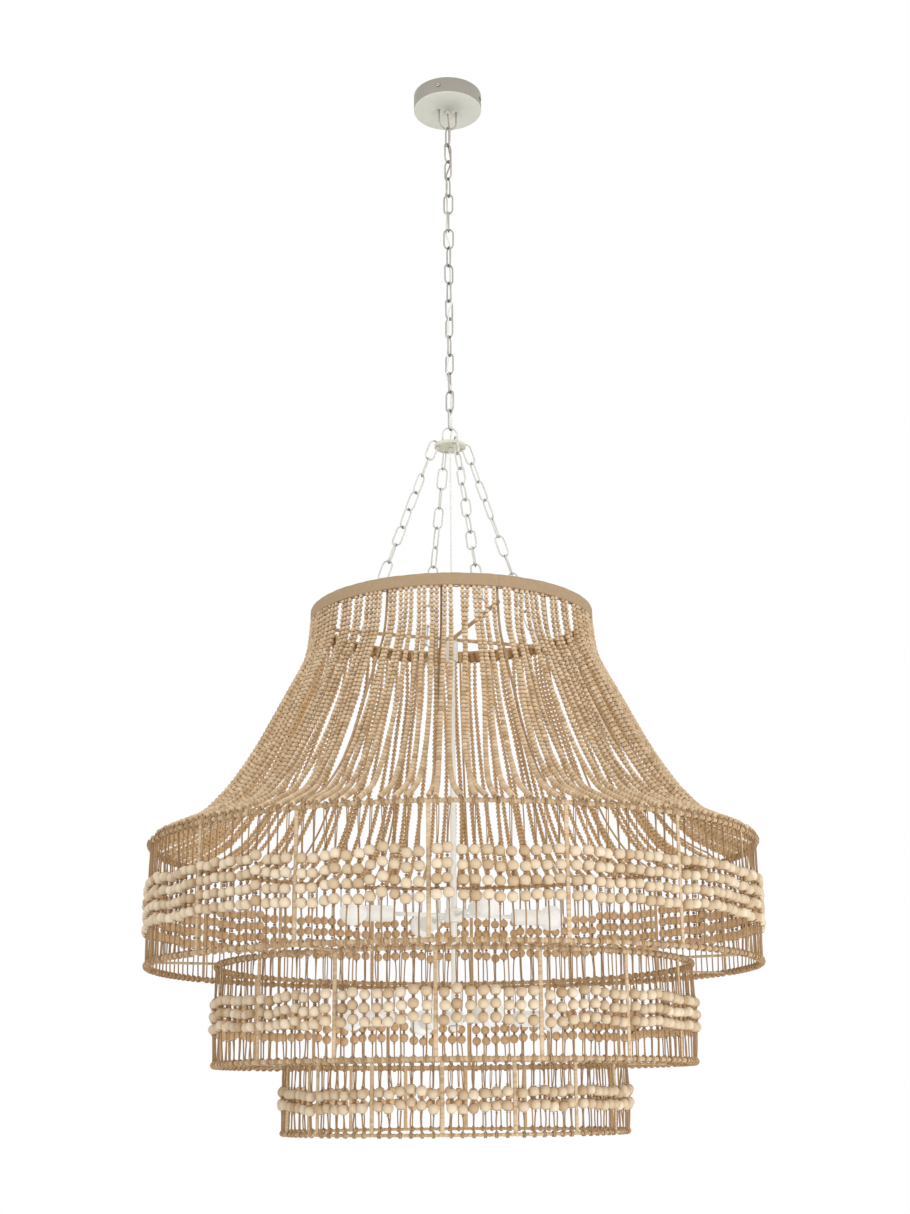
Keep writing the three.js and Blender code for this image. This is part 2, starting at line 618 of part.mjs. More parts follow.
// Each tier's frame: a hoop above and below, flat strips between them, and spokes out to the tier above
function makeTierFrame(tier, top, outerTier) {
  const bottom = top - tier.drop;
  const pieces = [hoop(tier.radius, top, -1), hoop(tier.radius, bottom, 1)];
  const stripLength = tier.drop - HOOP_WIRE + 2 * STRIP_SEAT;
  for (let bay = 0; bay < BAY_COUNT; bay++) {
    const strip = new THREE.BoxGeometry(STRIP_THICKNESS, STRIP_WIDTH, stripLength);
    pieces.push(faceTo(strip.translate(tier.radius - stripInset, 0, (top + bottom) / 2), bay * bayAngle));
  }
  if (outerTier) {
    const reach = outerTier.radius - HOOP_WIRE / 2 - CLEARANCE;
    const half = SPOKE_DIAMETER / 2;
    for (let i = 0; i < SPOKE_COUNT; i++) {
      const profile = [[0, tier.radius], [half, tier.radius], [half, reach], [0, reach]];
      const spoke = lyingRevolved(profile, ARM_SIDES);
      pieces.push(faceTo(spoke.translate(0, 0, top), (2 * Math.PI * i) / SPOKE_COUNT));
    }
  }
  addPiece(`${tier.name}_frame`, joined(pieces), wrappedWire);
}

// Cord that runs along a hoop from corner to corner, on which the strings are knotted
function lashing(radius, z, angles) {
  const corners = angles.map((angle) => [radius * Math.sin(angle), -radius * Math.cos(angle)]);
  const cord = bentWire(corners, LASHING_DIAMETER, STRAND_SIDES, false);
  return cord.rotateX(-Math.PI / 2).translate(0, 0, z);
}

// Angles evenly between a start and the end of a span
function spreadAngles(start, span, count) {
  return Array.from({ length: count }, (_, i) => start + ((i + 1 / 2) * span) / count);
}

// Angles of a sector's corners: its two ends, every bay corner between them, and its strings
function sectorAngles(start, end, radius, strings) {
  const margin = CLEARANCE / radius;
  const corners = [];
  for (let angle = start + bayAngle; angle < end - margin; angle += bayAngle) corners.push(angle);
  return [start + margin, ...corners, ...strings, end - margin].sort((a, b) => a - b);
}

// One string of large beads with its cord above and below
function beadString(tier, top, bottom) {
  const neck = STRING_DIAMETER / 2;
  const profile = [[0, bottom], [neck, bottom]];
  for (let row = tier.rows - 1; row >= 0; row--) {
    const middle = top - tier.firstBead - row * tier.beadPitch;
    profile.push([neck, middle - tier.beadPitch / 2], [LARGE_BEAD / 2, middle]);
  }
  profile.push([neck, top - tier.firstBead + tier.beadPitch / 2], [neck, top], [0, top]);
  return revolved(profile, BEAD_SIDES);
}

function makeTierBeads(tier, top) {
  const lashingZ = top - (HOOP_WIRE + LASHING_DIAMETER) / 2 - CLEARANCE;
  const stringBottom = top - tier.drop + HOOP_WIRE / 2 + CLEARANCE;
  const radius = tier.radius + stringOffset;
  const sectorAngle = (2 * Math.PI) / TIER_SECTORS;
  const stringsPerSector = (BAY_COUNT / TIER_SECTORS) * tier.stringsPerBay;
  for (let sector = 0; sector < TIER_SECTORS; sector++) {
    const start = (sector - 1 / 2) * sectorAngle;
    const strings = spreadAngles(start, sectorAngle, stringsPerSector);
    const pieces = [lashing(radius, lashingZ, sectorAngles(start, start + sectorAngle, radius, strings))];
    for (const angle of strings) {
      const place = at(radius, angle, 0);
      pieces.push(beadString(tier, lashingZ, stringBottom).rotateZ(angle).translate(place.x, place.y, 0));
    }
    addPiece(`${tier.name}_beads_${sector + 1}`, joined(pieces), paleWood);
  }
}

// The skirt's strands of small beads hang from the crown and rest their lower ends on the upper tier's hoop
function makeSkirtBeads() {
  const lashingZ = crownBottomZ - LASHING_DIAMETER / 2 - CLEARANCE;
  const endZ = tierTops[0] + (HOOP_WIRE + SMALL_BEAD) / 2 + 2 * CLEARANCE;
  const path = flarePoints(strandTopRadius, lashingZ, TIERS[0].radius, endZ);
  const sectorAngle = (2 * Math.PI) / SKIRT_SECTORS;
  for (let sector = 0; sector < SKIRT_SECTORS; sector++) {
    const start = sector * sectorAngle;
    const strands = spreadAngles(start, sectorAngle, STRANDS_PER_SECTOR);
    const corners = sectorAngles(start, start + sectorAngle, strandTopRadius, strands);
    const pieces = [lashing(strandTopRadius, lashingZ, corners)];
    for (const angle of strands) {
      const points = path.map(([radius, z]) => at(radius, angle, z));
      pieces.push(tube(new CornerPath(points), SMALL_BEAD, STRAND_SIDES, points.length - 1));
    }
    addPiece(`skirt_beads_${sector + 1}`, joined(pieces), paleWood);
  }
}

function makeStem() {
  const half = STEM_DIAMETER / 2;
  const bore = STEM_BORE / 2;
  const boreEnd = stemTopZ - CORD_REACH - CLEARANCE;
  const stemProfile = [
    [0, stemBottomZ],
    [half, stemBottomZ],
    [half, stemTopZ],
    [bore, stemTopZ],
    [bore, boreEnd],
    [0, boreEnd],
  ];
  addPiece("light_stem", revolved(stemProfile, STEM_FACETS), whitePaint);
  const couplerBottom = stemTopZ - COUPLER_HEIGHT;
  const coupler = band(half + CLEARANCE, COUPLER_DIAMETER / 2, couplerBottom, stemTopZ, COLLAR_FACETS);
  addPiece("stem_coupler", coupler, greyMetal);
  const finialTop = stemBottomZ - CLEARANCE;
  const finialRadius = FINIAL_DIAMETER / 2;
  const finialProfile = [
    [0, finialTop - FINIAL_HEIGHT],
    [finialRadius / 2, finialTop - FINIAL_HEIGHT],
    [finialRadius, finialTop - FINIAL_HEIGHT / 2],
    [finialRadius, finialTop],
    [0, finialTop],
  ];
  addPiece("stem_finial", revolved(finialProfile, STEM_FACETS), whitePaint);
}

function makeLights(name, z) {
  const hubRadius = LIGHT_HUB_DIAMETER / 2;
  const armRadius = ARM_DIAMETER / 2;
  const socketRadius = SOCKET_DIAMETER / 2;
  const socketBore = socketRadius - SOCKET_WALL;
  const socketFloor = SOCKET_END - BULB_BASE_LENGTH - CLEARANCE;
  const stemHole = STEM_DIAMETER / 2 + CLEARANCE;
  const hubHalf = LIGHT_HUB_HEIGHT / 2;
  const pieces = [band(stemHole, hubRadius, z - hubHalf, z + hubHalf, COLLAR_FACETS)];
  const armStart = hubRadius - armRadius;
  const socketProfile = [
    [0, SOCKET_START],
    [socketRadius / 2, SOCKET_START],
    [socketRadius, SOCKET_START + socketRadius / 2],
    [socketRadius, SOCKET_END],
    [socketBore, SOCKET_END],
    [socketBore, socketFloor],
    [0, socketFloor],
  ];
  const armEnd = SOCKET_START + armRadius;
  const armProfile = [[0, armStart], [armRadius, armStart], [armRadius, armEnd], [0, armEnd]];
  const bulbRadius = BULB_DIAMETER / 2;
  const baseRadius = socketBore - CLEARANCE;
  const baseStart = SOCKET_END - BULB_BASE_LENGTH;
  const neckTurn = Math.PI - Math.asin(baseRadius / bulbRadius);
  const globe = GLOBE_SHARES.map((share) => [
    bulbRadius * Math.sin(neckTurn * share),
    BULB_CENTRE + bulbRadius * Math.cos(neckTurn * share),
  ]);
  const bulbProfile = [[0, baseStart], [baseRadius, baseStart], ...globe, [0, BULB_CENTRE + bulbRadius]];
  for (let i = 0; i < LIGHTS_PER_CROSS; i++) {
    const angle = (2 * Math.PI * i) / LIGHTS_PER_CROSS;
    const placed = (profile, sides) => faceTo(lyingRevolved(profile, sides).translate(0, 0, z), angle);
    pieces.push(placed(armProfile, ARM_SIDES), placed(socketProfile, SOCKET_FACETS));
    addPiece(`${name}_bulb_${i + 1}`, placed(bulbProfile, SOCKET_FACETS), frostedGlass);
  }
  addPiece(`${name}_light_arms`, joined(pieces), whitePaint);
}

makeCanopy();
makeChain();
makeCord();
makeHub();
makeHangers();
makeCrown();
TIERS.forEach((tier, i) => {
  makeTierFrame(tier, tierTops[i], TIERS[i - 1]);
  makeTierBeads(tier, tierTops[i]);
});
makeSkirtBeads();
makeStem();
makeLights("upper", upperLightsZ);
makeLights("lower", lowerLightsZ);

export default chandelier;
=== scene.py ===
# Beaded chandelier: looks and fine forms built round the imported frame.
# Sizes are millimetres in the part's own frame, turned to metres where a mesh is made.
import math

import bmesh
import bpy
import numpy as np
from mathutils import Matrix


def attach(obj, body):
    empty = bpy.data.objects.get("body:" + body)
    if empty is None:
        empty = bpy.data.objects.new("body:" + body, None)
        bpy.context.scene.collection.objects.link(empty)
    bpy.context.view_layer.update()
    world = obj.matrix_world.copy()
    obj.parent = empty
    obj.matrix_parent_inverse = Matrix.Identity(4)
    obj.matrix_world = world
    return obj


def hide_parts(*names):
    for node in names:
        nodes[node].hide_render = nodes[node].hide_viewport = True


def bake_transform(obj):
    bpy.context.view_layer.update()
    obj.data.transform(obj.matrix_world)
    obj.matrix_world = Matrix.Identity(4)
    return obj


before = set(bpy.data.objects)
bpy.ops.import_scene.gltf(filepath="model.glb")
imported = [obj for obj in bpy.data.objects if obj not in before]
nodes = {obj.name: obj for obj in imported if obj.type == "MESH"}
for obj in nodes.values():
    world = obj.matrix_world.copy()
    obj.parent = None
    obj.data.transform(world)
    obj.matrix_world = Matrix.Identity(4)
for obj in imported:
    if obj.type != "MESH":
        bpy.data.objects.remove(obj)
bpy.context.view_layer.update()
chance = np.random.default_rng(17)

MM = 0.001
FULL = 2 * math.pi
CLEARANCE = 0.3

# A mesh of fewer points than this is welded and turned outward
WELD_LIMIT = 60000

# Photograph and camera
PHOTO_WIDTH = 910
FOCAL_PIXELS = 1638.5
SENSOR = 36
CAMERA_PITCH = math.radians(16.73)
CAMERA_ROLL = math.radians(0.482)
CAMERA_YAW = math.radians(-0.104)
PART_TURN = math.radians(-18.8)
CAMERA_PLACE = (-1040.2, -3097.2, -2205.7)

# Floor, sky and lamps, in metres and watts: each lamp's name, place, power and width
FLOOR_Z = -4.2
FLOOR_REACH = 9
WORLD_FILL = 0.74
LAMP_AIM = (0, 0, -1.5)
LAMPS = (
    ("key_lamp", (1.2, -4.6, 0.4), 24, 2.6),
    ("side_lamp", (-4.2, -1.9, 0.0), 78, 2.6),
    ("right_lamp", (4.2, -2.0, 0.0), 46, 2.4),
    ("top_lamp", (0.4, 1.4, 2.6), 50, 2.4),
    ("low_lamp", (0.6, -2.6, -3.1), 42, 2.0),
)

# Canopy, its screws, its loop and its bushing
CANOPY_RADIUS = 77
CANOPY_HEIGHT = 38
CANOPY_WALL = 1.6
CANOPY_EDGE = 2.2
SCREW_COUNT = 4
SCREW_TURN = math.radians(-34)
SCREW_DEPTH = 19
SCREW_HEAD = 4.4
SCREW_HEAD_HEIGHT = 2.6
SCREW_DOME = 0.72
SCREW_RIM = 0.86
SCREW_SHANK = 2
SCREW_LENGTH = 9
RECESS_WIDTH = 0.75
RECESS_REACH = 2.5
RECESS_DEPTH = 1.3
LOOP_WIDTH = 45
LOOP_DROP = 50
LOOP_WIRE = 4.3
LOOP_FOOT = 7
COLLAR_RADIUS = 3.4
COLLAR_HEIGHT = 0.25
COLLAR_DROP = 0.4
NUT_RADIUS = 4.6
NUT_HEIGHT = 3
BUSHING_RADIUS = 4.6
BUSHING_LENGTH = 8
BUSHING_FLANGE = 6.4
BUSHING_FLANGE_HEIGHT = 2
CANOPY_SEAT_Z = -CANOPY_HEIGHT + CANOPY_WALL + CLEARANCE

# Main chain: the links' sizes, and how far each is turned from the loop's plane, from the top one down
LINK_LENGTH = 51.2
LINK_WIDTH = 24
LINK_WIRE = 3.8
LINK_FUSE = 0.35
INNER_LINKS = 15
LINK_TURNS = np.radians([98, 31, 113, 49, -36, 69, -19, 93, 14, 94, 27, 117, 55, 121, 60, 120, 55])

# Bail, plate and the four chains below it
BAIL_WIDTH = 37
BAIL_HEIGHT = 40
BAIL_WIRE = 3.5
HUB_RADIUS = 33.5
HUB_THICKNESS = 6
HUB_EDGE = 0.8
HUB_BORE = 4
CHAIN_HOLE = 4.5
CHAIN_HOLE_PLACE = 26
HUB_TO_BARS = 430
HANGER_COUNT = 4
HANGER_LINKS = 11
HANGER_WIDTH = 23
HANGER_WIRE = 3.6
HANGER_LIFT = 5
HANGER_PLACE = 195
HANGER_TURN = math.radians(99)
HANGER_UNEVEN = math.radians(30)

# Crown and bars
BARS_TO_CROWN = 27
BAR_DIAMETER = 8
BAR_REACH = 282
BAR_WRAP_PITCH = 4.2
BOSS_RADIUS = 12
BOSS_HEIGHT = 8.8
CROWN_RADIUS = 292
CROWN_HEIGHT = 25
CROWN_DEPTH = 5.6
STRAP_CORNER = 1.6
STRAP_SINK = 0.35
STRAP_STEPS = 720

# Shade: hoops, strips, spokes and ribs
BAYS = 16
BAY = FULL / BAYS
STRIP_WIDTH = 7.5
STRIP_THICKNESS = 3
STRIP_INSET = 1.25
STRIP_SHORT = 2
SPOKES = 8
SPOKE_DIAMETER = 5
SPOKE_SHORT = 3
WRAP_PITCH = 3.4
ROPE_RIDGE = 8.2
ROPE_DEPTH = 0.4
ROPE_STEPS = 6
ROPE_SIDES = 10
RIB_WIDTH = 4.6
RIB_INSET = 15
RIB_OVERHANG = 8
RIB_SHORT = 2.5
SKIRT_DROP = 466
STRAND_RISE = 4.21
STRAND_OVERHANG = 8.4

# Tiers: sizes, bead rows, strings in each bay, and the wound diameters of the top and the bottom hoop
TIERS = (
    {"name": "upper_tier", "radius": 592, "drop": 226.4, "rows": 4, "pitch": 24.6, "first": 81,
     "strings": 11, "ropes": (9.2, 9.2)},
    {"name": "middle_tier", "radius": 459, "drop": 181.2, "rows": 3, "pitch": 22.5, "first": 73.5,
     "strings": 8, "ropes": (8.8, 9)},
    {"name": "lower_tier", "radius": 327, "drop": 123.4, "rows": 2, "pitch": 23, "first": 52.7,
     "strings": 6, "ropes": (8, 6.8)},
)

# Beads, strings and strands
BEAD_SECTORS = 4
SKIRT_SECTORS = 8
STRANDS_PER_BAY = (8, 7, 8, 9, 9, 9, 9, 9, 9, 9, 9, 9, 9, 9, 9, 8)
STRING_OFFSET = 2.2
STRING_MARGIN = 15.3
STRING_CORD = 2
STRING_LIFT = 6
LIFT_KEPT = 0.6
LIFT_SPREAD = 2.2
STRING_DRIFT = 0.9
STRING_DEPTH = 1.2
BEAD_STRAY = (0.8, 0.5, 0.8)
BEAD_TILT = 0.08
KNOT_GAP = 1.6
KNOT_DROP = 2.2
KNOT_OUT = 1.4
TURNS_APART = 1.3
TURN_SWELL = 0.7
TWO_LEGS = 0.7
TWIN_LEG = 2
SINGLE_LEG = 2.4
LOWER_LEG = 2.8
LEG_SPREAD = 1.8
LEG_SINK = 0.8
LEG_OUT = 1.5
LEG_CLOSE = 0.75
LARGE_BEAD = 19.6
SMALL_BEAD = 10.2
SMALL_PITCH = 9.7
SPACER = 6.8
STRAND_PROUD = 1.2
STRAND_CORD = 1.6
TAIL_CORD = 2.6
TAIL_OUT = 1.5
TAIL_DROP = 5
CROWN_LOOP_INSET = 6
CROWN_LOOP_WIDTH = 14
CROWN_LOOP_DIP = 3.2
CROWN_LOOP_RISE = 1.6
CROWN_LOOP_CORD = 2.2
CROWN_KNOT_INSET = 2.6
CROWN_KNOT_RISES = (4.5, 11, 17.5)

# Outline of the skirt, from the crown to the upper tier's hoop, as shares of its flare and its drop
SKIRT_SHARES = np.array([
    (0, 0), (0.015, 0.095), (0.034, 0.159), (0.062, 0.208), (0.174, 0.347), (0.269, 0.468), (0.378, 0.603),
    (0.509, 0.739), (0.618, 0.819), (0.716, 0.874), (0.826, 0.911), (0.924, 0.939), (1, 1),
])

# The strands lie a little flatter than that outline near the hoop, and end on top of it
STRAND_SHARES = np.vstack([
    SKIRT_SHARES[:-5], (0.618, 0.829), (0.716, 0.891), (0.826, 0.931), (0.924, 0.959), (1, 0.982),
])

# Lights
STEM_DIAMETER = 12
STEM_BORE = 7.4
STEM_BORE_DEPTH = 46.3
COUPLER_DIAMETER = 26
COUPLER_HEIGHT = 42
BARS_TO_LIGHTS = {"upper": 564, "lower": 761}
LIGHTS_PER_CROSS = 4
LIGHT_HUB_DIAMETER = 34
LIGHT_HUB_HEIGHT = 26
ARM_DIAMETER = 8
ARM_LAP = 4
SOCKET_START = 122
SOCKET_END = 180
SOCKET_DIAMETER = 31
SOCKET_WALL = 2
SOCKET_NECK = 0.55
SOCKET_FLARE = 7
BAND_SPAN = (9, 4)
BAND_BEVEL = 1
BAND_LOW = 0.05
BAND_HIGH = 0.7
BULB_DIAMETER = 50
BULB_CENTRE = 206
BULB_BASE = 27
BULB_PLAY = 0.4
FINIAL_DIAMETER = 18
FINIAL_HEIGHT = 12
FINIAL_BAND = 4

# Places worked out downwards from the ceiling; each link seats on the corners of the frame's own links
SEAT_SHARE = 0.5 / math.cos(math.pi / 8)
LINK_SEAT = LINK_WIRE * SEAT_SHARE
LINK_REACH = LINK_LENGTH - LINK_WIRE
LINK_PITCH = LINK_REACH - 2 * LINK_SEAT + LINK_FUSE
FREE_PITCH = LINK_REACH - 2 * LINK_SEAT - CLEARANCE
LOOP_BEND_Z = -CANOPY_HEIGHT - LOOP_DROP + LOOP_WIRE / 2
FIRST_LINK_Z = LOOP_BEND_Z + LOOP_WIRE * SEAT_SHARE + CLEARANCE + LINK_SEAT - LINK_REACH / 2
SECOND_LINK_Z = FIRST_LINK_Z - FREE_PITCH
LAST_LINK_Z = SECOND_LINK_Z - (INNER_LINKS - 1) * LINK_PITCH - FREE_PITCH
BAIL_BEND_Z = LAST_LINK_Z - LINK_REACH / 2 + LINK_SEAT + CLEARANCE + BAIL_WIRE * SEAT_SHARE
HUB_TOP_Z = BAIL_BEND_Z - BAIL_HEIGHT
HUB_LOW_Z = HUB_TOP_Z - HUB_THICKNESS
BARS_Z = HUB_TOP_Z - HUB_THICKNESS / 2 - HUB_TO_BARS
CROWN_BOTTOM_Z = BARS_Z + BARS_TO_CROWN
STEM_TOP_Z = BARS_Z - BAR_DIAMETER / 2 - CLEARANCE
STEM_BOTTOM_Z = BARS_Z - BARS_TO_LIGHTS["lower"] - LIGHT_HUB_HEIGHT / 2 - CLEARANCE
next_top = CROWN_BOTTOM_Z - SKIRT_DROP
for tier in TIERS:
    tier["top"] = next_top
    next_top -= tier["drop"]
    tier["bottom"] = next_top

# Supply cord: its route keeps beside the links, and painted shade darkens it between the canopy and two
# heights
CORD_DIAMETER = 3.5
CORD_ASIDE = (LINK_WIRE + CORD_DIAMETER) / 2 + 2 * CLEARANCE
CORD_BEND = 16
CORD_TOP_Z = -CANOPY_HEIGHT + 14
CORD_JOIN_Z = -65
CORD_LEAVE = 23
CORD_END_Z = STEM_TOP_Z - 41.5
CORD_CROSSING = 4
CORD_SPACING = 2.5
CORD_LAP = 2.6
CORD_CLEAR = 0.15
CORD_STEP = 0.6
CORD_DARK_Z = -230
CORD_PALE_Z = -330

# Its pieces from the top down: the end, the body or bodies it hangs on, and where it bends between two
CORD_PIECES = (
    (FIRST_LINK_Z, ("canopy", "top_link"), (-70, -100)),
    (SECOND_LINK_Z, ("top_link", "chain"), (-112, -144)),
    (-760, ("chain",), None),
    (LAST_LINK_Z, ("chain", "bottom_link"), (-766, -798)),
    (-850, ("bottom_link", "shade"), (-808, -842)),
    (CORD_END_Z, ("shade",), None),
)


# Camera first
def make_camera():
    yaw, pitch, roll = CAMERA_YAW, CAMERA_PITCH, CAMERA_ROLL
    forward = np.array([math.sin(yaw) * math.cos(pitch), math.cos(yaw) * math.cos(pitch), math.sin(pitch)])
    right = np.array([math.cos(yaw), -math.sin(yaw), 0])
    up = np.array([-math.sin(yaw) * math.sin(pitch), -math.cos(yaw) * math.sin(pitch), math.cos(pitch)])
    right, up = right * math.cos(roll) - up * math.sin(roll), right * math.sin(roll) + up * math.cos(roll)
    turn = np.array(Matrix.Rotation(PART_TURN, 3, "Z"))
    camera_data = bpy.data.cameras.new("camera")
    camera_data.sensor_fit = "HORIZONTAL"
    camera_data.sensor_width = SENSOR
    camera_data.lens = FOCAL_PIXELS / PHOTO_WIDTH * SENSOR
    camera_data.clip_end = 100
    camera = bpy.data.objects.new("camera", camera_data)
    columns = np.array([turn @ right, turn @ up, turn @ -forward]).T
    placed = [[*columns[row], CAMERA_PLACE[row] * MM] for row in range(3)]
    camera.matrix_world = Matrix(placed + [[0, 0, 0, 1]])
    bpy.context.scene.collection.objects.link(camera)
    bpy.context.scene.camera = camera


make_camera()


# Colours and node trees
BLACK = (0, 0, 0, 1)
WHITE = (1, 1, 1, 1)


def linear(color):
    """A colour written as a screen shows it, 0 to 255, as the light that a shader takes."""
    parts = [c / 255 for c in color]
    return tuple(c / 12.92 if c <= 0.04045 else ((c + 0.055) / 1.055) ** 2.4 for c in parts) + (1,)


def plug(tree, socket, source):
    """Feeds a socket with another node's output, or with a plain value."""
    if hasattr(source, "is_output"):
        tree.links.new(source, socket)
    else:
        socket.default_value = source


def add_node(tree, kind, links=None, **values):
    made = tree.nodes.new(kind)
    for key, value in values.items():
        setattr(made, key, value)
    for socket, source in (links or {}).items():
        plug(tree, made.inputs[socket], source)
    return made


class Paint:
    """A material under construction: short calls for the nodes that the finishes below share."""

    def __init__(self, name, roughness, metallic=0.0):
        self.material = bpy.data.materials.new(name)
        self.material.use_nodes = True
        self.tree = self.material.node_tree
        self.shader = next(n for n in self.tree.nodes if n.type == "BSDF_PRINCIPLED")
        self.set("Roughness", roughness)
        self.set("Metallic", metallic)

    def node(self, kind, links=None, **values):
        return add_node(self.tree, kind, links, **values)

    def set(self, socket, source):
        plug(self.tree, self.shader.inputs[socket], source)

    def attribute(self, name, output):
        return self.node("ShaderNodeAttribute", attribute_name=name).outputs[output]

    def place(self):
        return self.node("ShaderNodeTexCoord").outputs["Object"]

    def noise(self, vector, scale, detail=3.0, roughness=0.55):
        links = {"Vector": vector, "Scale": scale, "Detail": detail, "Roughness": roughness}
        return self.node("ShaderNodeTexNoise", links).outputs["Fac"]

    def maths(self, operation, first, second=0.0):
        return self.node("ShaderNodeMath", {0: first, 1: second}, operation=operation).outputs[0]

    def ramp(self, source, stops):
        made = self.node("ShaderNodeValToRGB", {"Fac": source})
        places = made.color_ramp.elements
        while len(places) < len(stops):
            places.new(0.5)
        for element, (place, color) in zip(places, stops):
            element.position = place
            element.color = color
        return made.outputs["Color"]

    def mix(self, share, first, second):
        links = {0: share, 6: first, 7: second}
        return self.node("ShaderNodeMix", links, data_type="RGBA").outputs[2]

    def spread(self, source, low, high, start=0.0, end=1.0):
        links = {"Value": source, "From Min": start, "From Max": end, "To Min": low, "To Max": high}
        return self.node("ShaderNodeMapRange", links).outputs[0]

    def facing_in(self):
        """One where the surface faces the part's axis, none where it faces away from it: the mask of the
        painted shade on inward-facing surfaces.
        """
        coordinates = self.node("ShaderNodeTexCoord").outputs
        links = {0: coordinates["Object"], 1: (1.0, 1.0, 0.0)}
        flat = self.node("ShaderNodeVectorMath", links, operation="MULTIPLY").outputs[0]
        way = self.node("ShaderNodeVectorMath", {0: flat}, operation="NORMALIZE").outputs[0]
        links = {0: way, 1: coordinates["Normal"]}
        facing = self.node("ShaderNodeVectorMath", links, operation="DOT_PRODUCT").outputs["Value"]
        return self.spread(facing, 0.0, 1.0, 0.15, -0.7)

    def bump(self, height, strength, distance):
        links = {"Height": height, "Strength": strength, "Distance": distance}
        self.set("Normal", self.node("ShaderNodeBump", links).outputs["Normal"])


def bead_wood(name, *colors):
    """Bare turned wood: each bead has its own tone and grain, and darkens towards its cord hole."""
    pale, middle, deep, hole, inner = map(linear, colors)
    paint = Paint(name, 0.6)
    grain = paint.attribute("grain", "Vector")
    tone = paint.attribute("tone", "Fac")
    stretched = paint.node("ShaderNodeMapping", {"Vector": grain, "Scale": (1.0, 1.0, 0.28)}).outputs[0]
    fine = paint.noise(stretched, 0.9, 4.0, 0.6)
    links = {"Vector": stretched, "Scale": 0.22, "Distortion": 5.0, "Detail": 2.0}
    rings = paint.node("ShaderNodeTexWave", links, wave_type="RINGS").outputs["Fac"]
    base = paint.ramp(tone, [(0.0, deep), (0.45, middle), (1.0, pale)])
    darker = paint.mix(0.28, base, deep)
    lined = paint.mix(paint.spread(rings, 0.0, 0.55), base, darker)
    mottled = paint.mix(paint.spread(fine, 0.0, 0.8), darker, lined)
    # Painted shade: surfaces facing the axis take the deeper inner colour.
    painted_shade = paint.mix(paint.maths("MULTIPLY", paint.facing_in(), 0.72), mottled, inner)
    pole = paint.attribute("pole", "Fac")
    paint.set("Base Color", paint.mix(paint.ramp(pole, [(0.72, BLACK), (0.98, WHITE)]), painted_shade, hole))
    paint.set("Roughness", paint.spread(fine, 0.5, 0.72))
    paint.bump(fine, 0.25, 0.0004)
    return paint.material


def wrapped_fibre(name, *colors):
    """Fibre cord wound side by side round a wire: each turn its own tone, with fine fibres across it."""
    pale, middle, deep, inner = map(linear, colors)
    paint = Paint(name, 0.88)
    tone = paint.attribute("tone", "Fac")
    spot = paint.place()
    fibres = paint.noise(spot, 900.0, 3.0, 0.6)
    drift = paint.noise(spot, 14.0, 2.0, 0.5)
    base = paint.ramp(tone, [(0.0, deep), (0.4, middle), (1.0, pale)])
    shaded = paint.mix(paint.spread(drift, 0.0, 0.35), base, middle)
    # Painted shade: surfaces facing the axis take the deeper inner colour.
    painted_shade = paint.mix(paint.maths("MULTIPLY", paint.facing_in(), 0.6), shaded, inner)
    paint.set("Base Color", paint.mix(paint.spread(fibres, 0.0, 0.4), painted_shade, deep))
    paint.set("Roughness", paint.spread(fibres, 0.78, 0.98))
    paint.bump(fibres, 0.5, 0.0005)
    return paint.material


def woven_strap(name, thread, *colors):
    """Plain woven webbing: thread pitch in millimetres, on coordinates that run round and up the strap."""
    pale, deep, edge, inner = map(linear, colors)
    paint = Paint(name, 0.92)
    cloth = paint.attribute("grain", "Vector")
    split = paint.node("ShaderNodeSeparateXYZ", {"Vector": cloth}).outputs
    ripple = paint.noise(cloth, 0.35, 3.0, 0.6)
    waves = [
        paint.maths("SINE", paint.maths("ADD", paint.maths("MULTIPLY", split[k], FULL / thread), ripple))
        for k in range(2)
    ]
    weave = paint.spread(paint.maths("MULTIPLY", *waves), 0.0, 1.0, -1.0)
    slubs = paint.noise(cloth, 0.09, 4.0, 0.7)
    fine = paint.noise(cloth, 1.6, 3.0, 0.7)
    thread_color = paint.mix(paint.spread(slubs, 0.1, 0.9), deep, pale)
    crossed = paint.mix(paint.spread(weave, 0.0, 0.9), thread_color, deep)
    threads = paint.mix(paint.spread(fine, 0.0, 0.3), crossed, pale)
    # Painted shade: surfaces facing the axis take the deeper inner colour.
    painted_shade = paint.mix(paint.facing_in(), threads, inner)
    # Painted shadow: the pole attribute darkens the strap's lower edge to the edge colour.
    paint.set("Base Color", paint.mix(paint.attribute("pole", "Fac"), painted_shade, edge))
    paint.set("Roughness", paint.spread(fine, 0.82, 0.98))
    paint.bump(paint.maths("ADD", weave, fine), 0.6, 0.0006)
    return paint.material


def speckled_paint(name, roughness, amount, *colors):
    """Powder paint with a fine orange-peel surface and small specks."""
    base, speck, shade = map(linear, colors)
    paint = Paint(name, roughness)
    spot = paint.place()
    peel = paint.noise(spot, 700.0, 2.0, 0.5)
    specks = paint.noise(spot, 420.0, 1.0, 0.4)
    cloud = paint.noise(spot, 12.0, 2.0, 0.5)
    mottled = paint.mix(paint.spread(cloud, 0.0, 0.5), base, shade)
    dots = paint.ramp(specks, [(0.62, BLACK), (0.7, (amount, amount, amount, 1))])
    paint.set("Base Color", paint.mix(dots, mottled, speck))
    paint.set("Roughness", paint.spread(peel, roughness - 0.08, roughness + 0.1))
    paint.bump(peel, 0.12, 0.0003)
    return paint.material


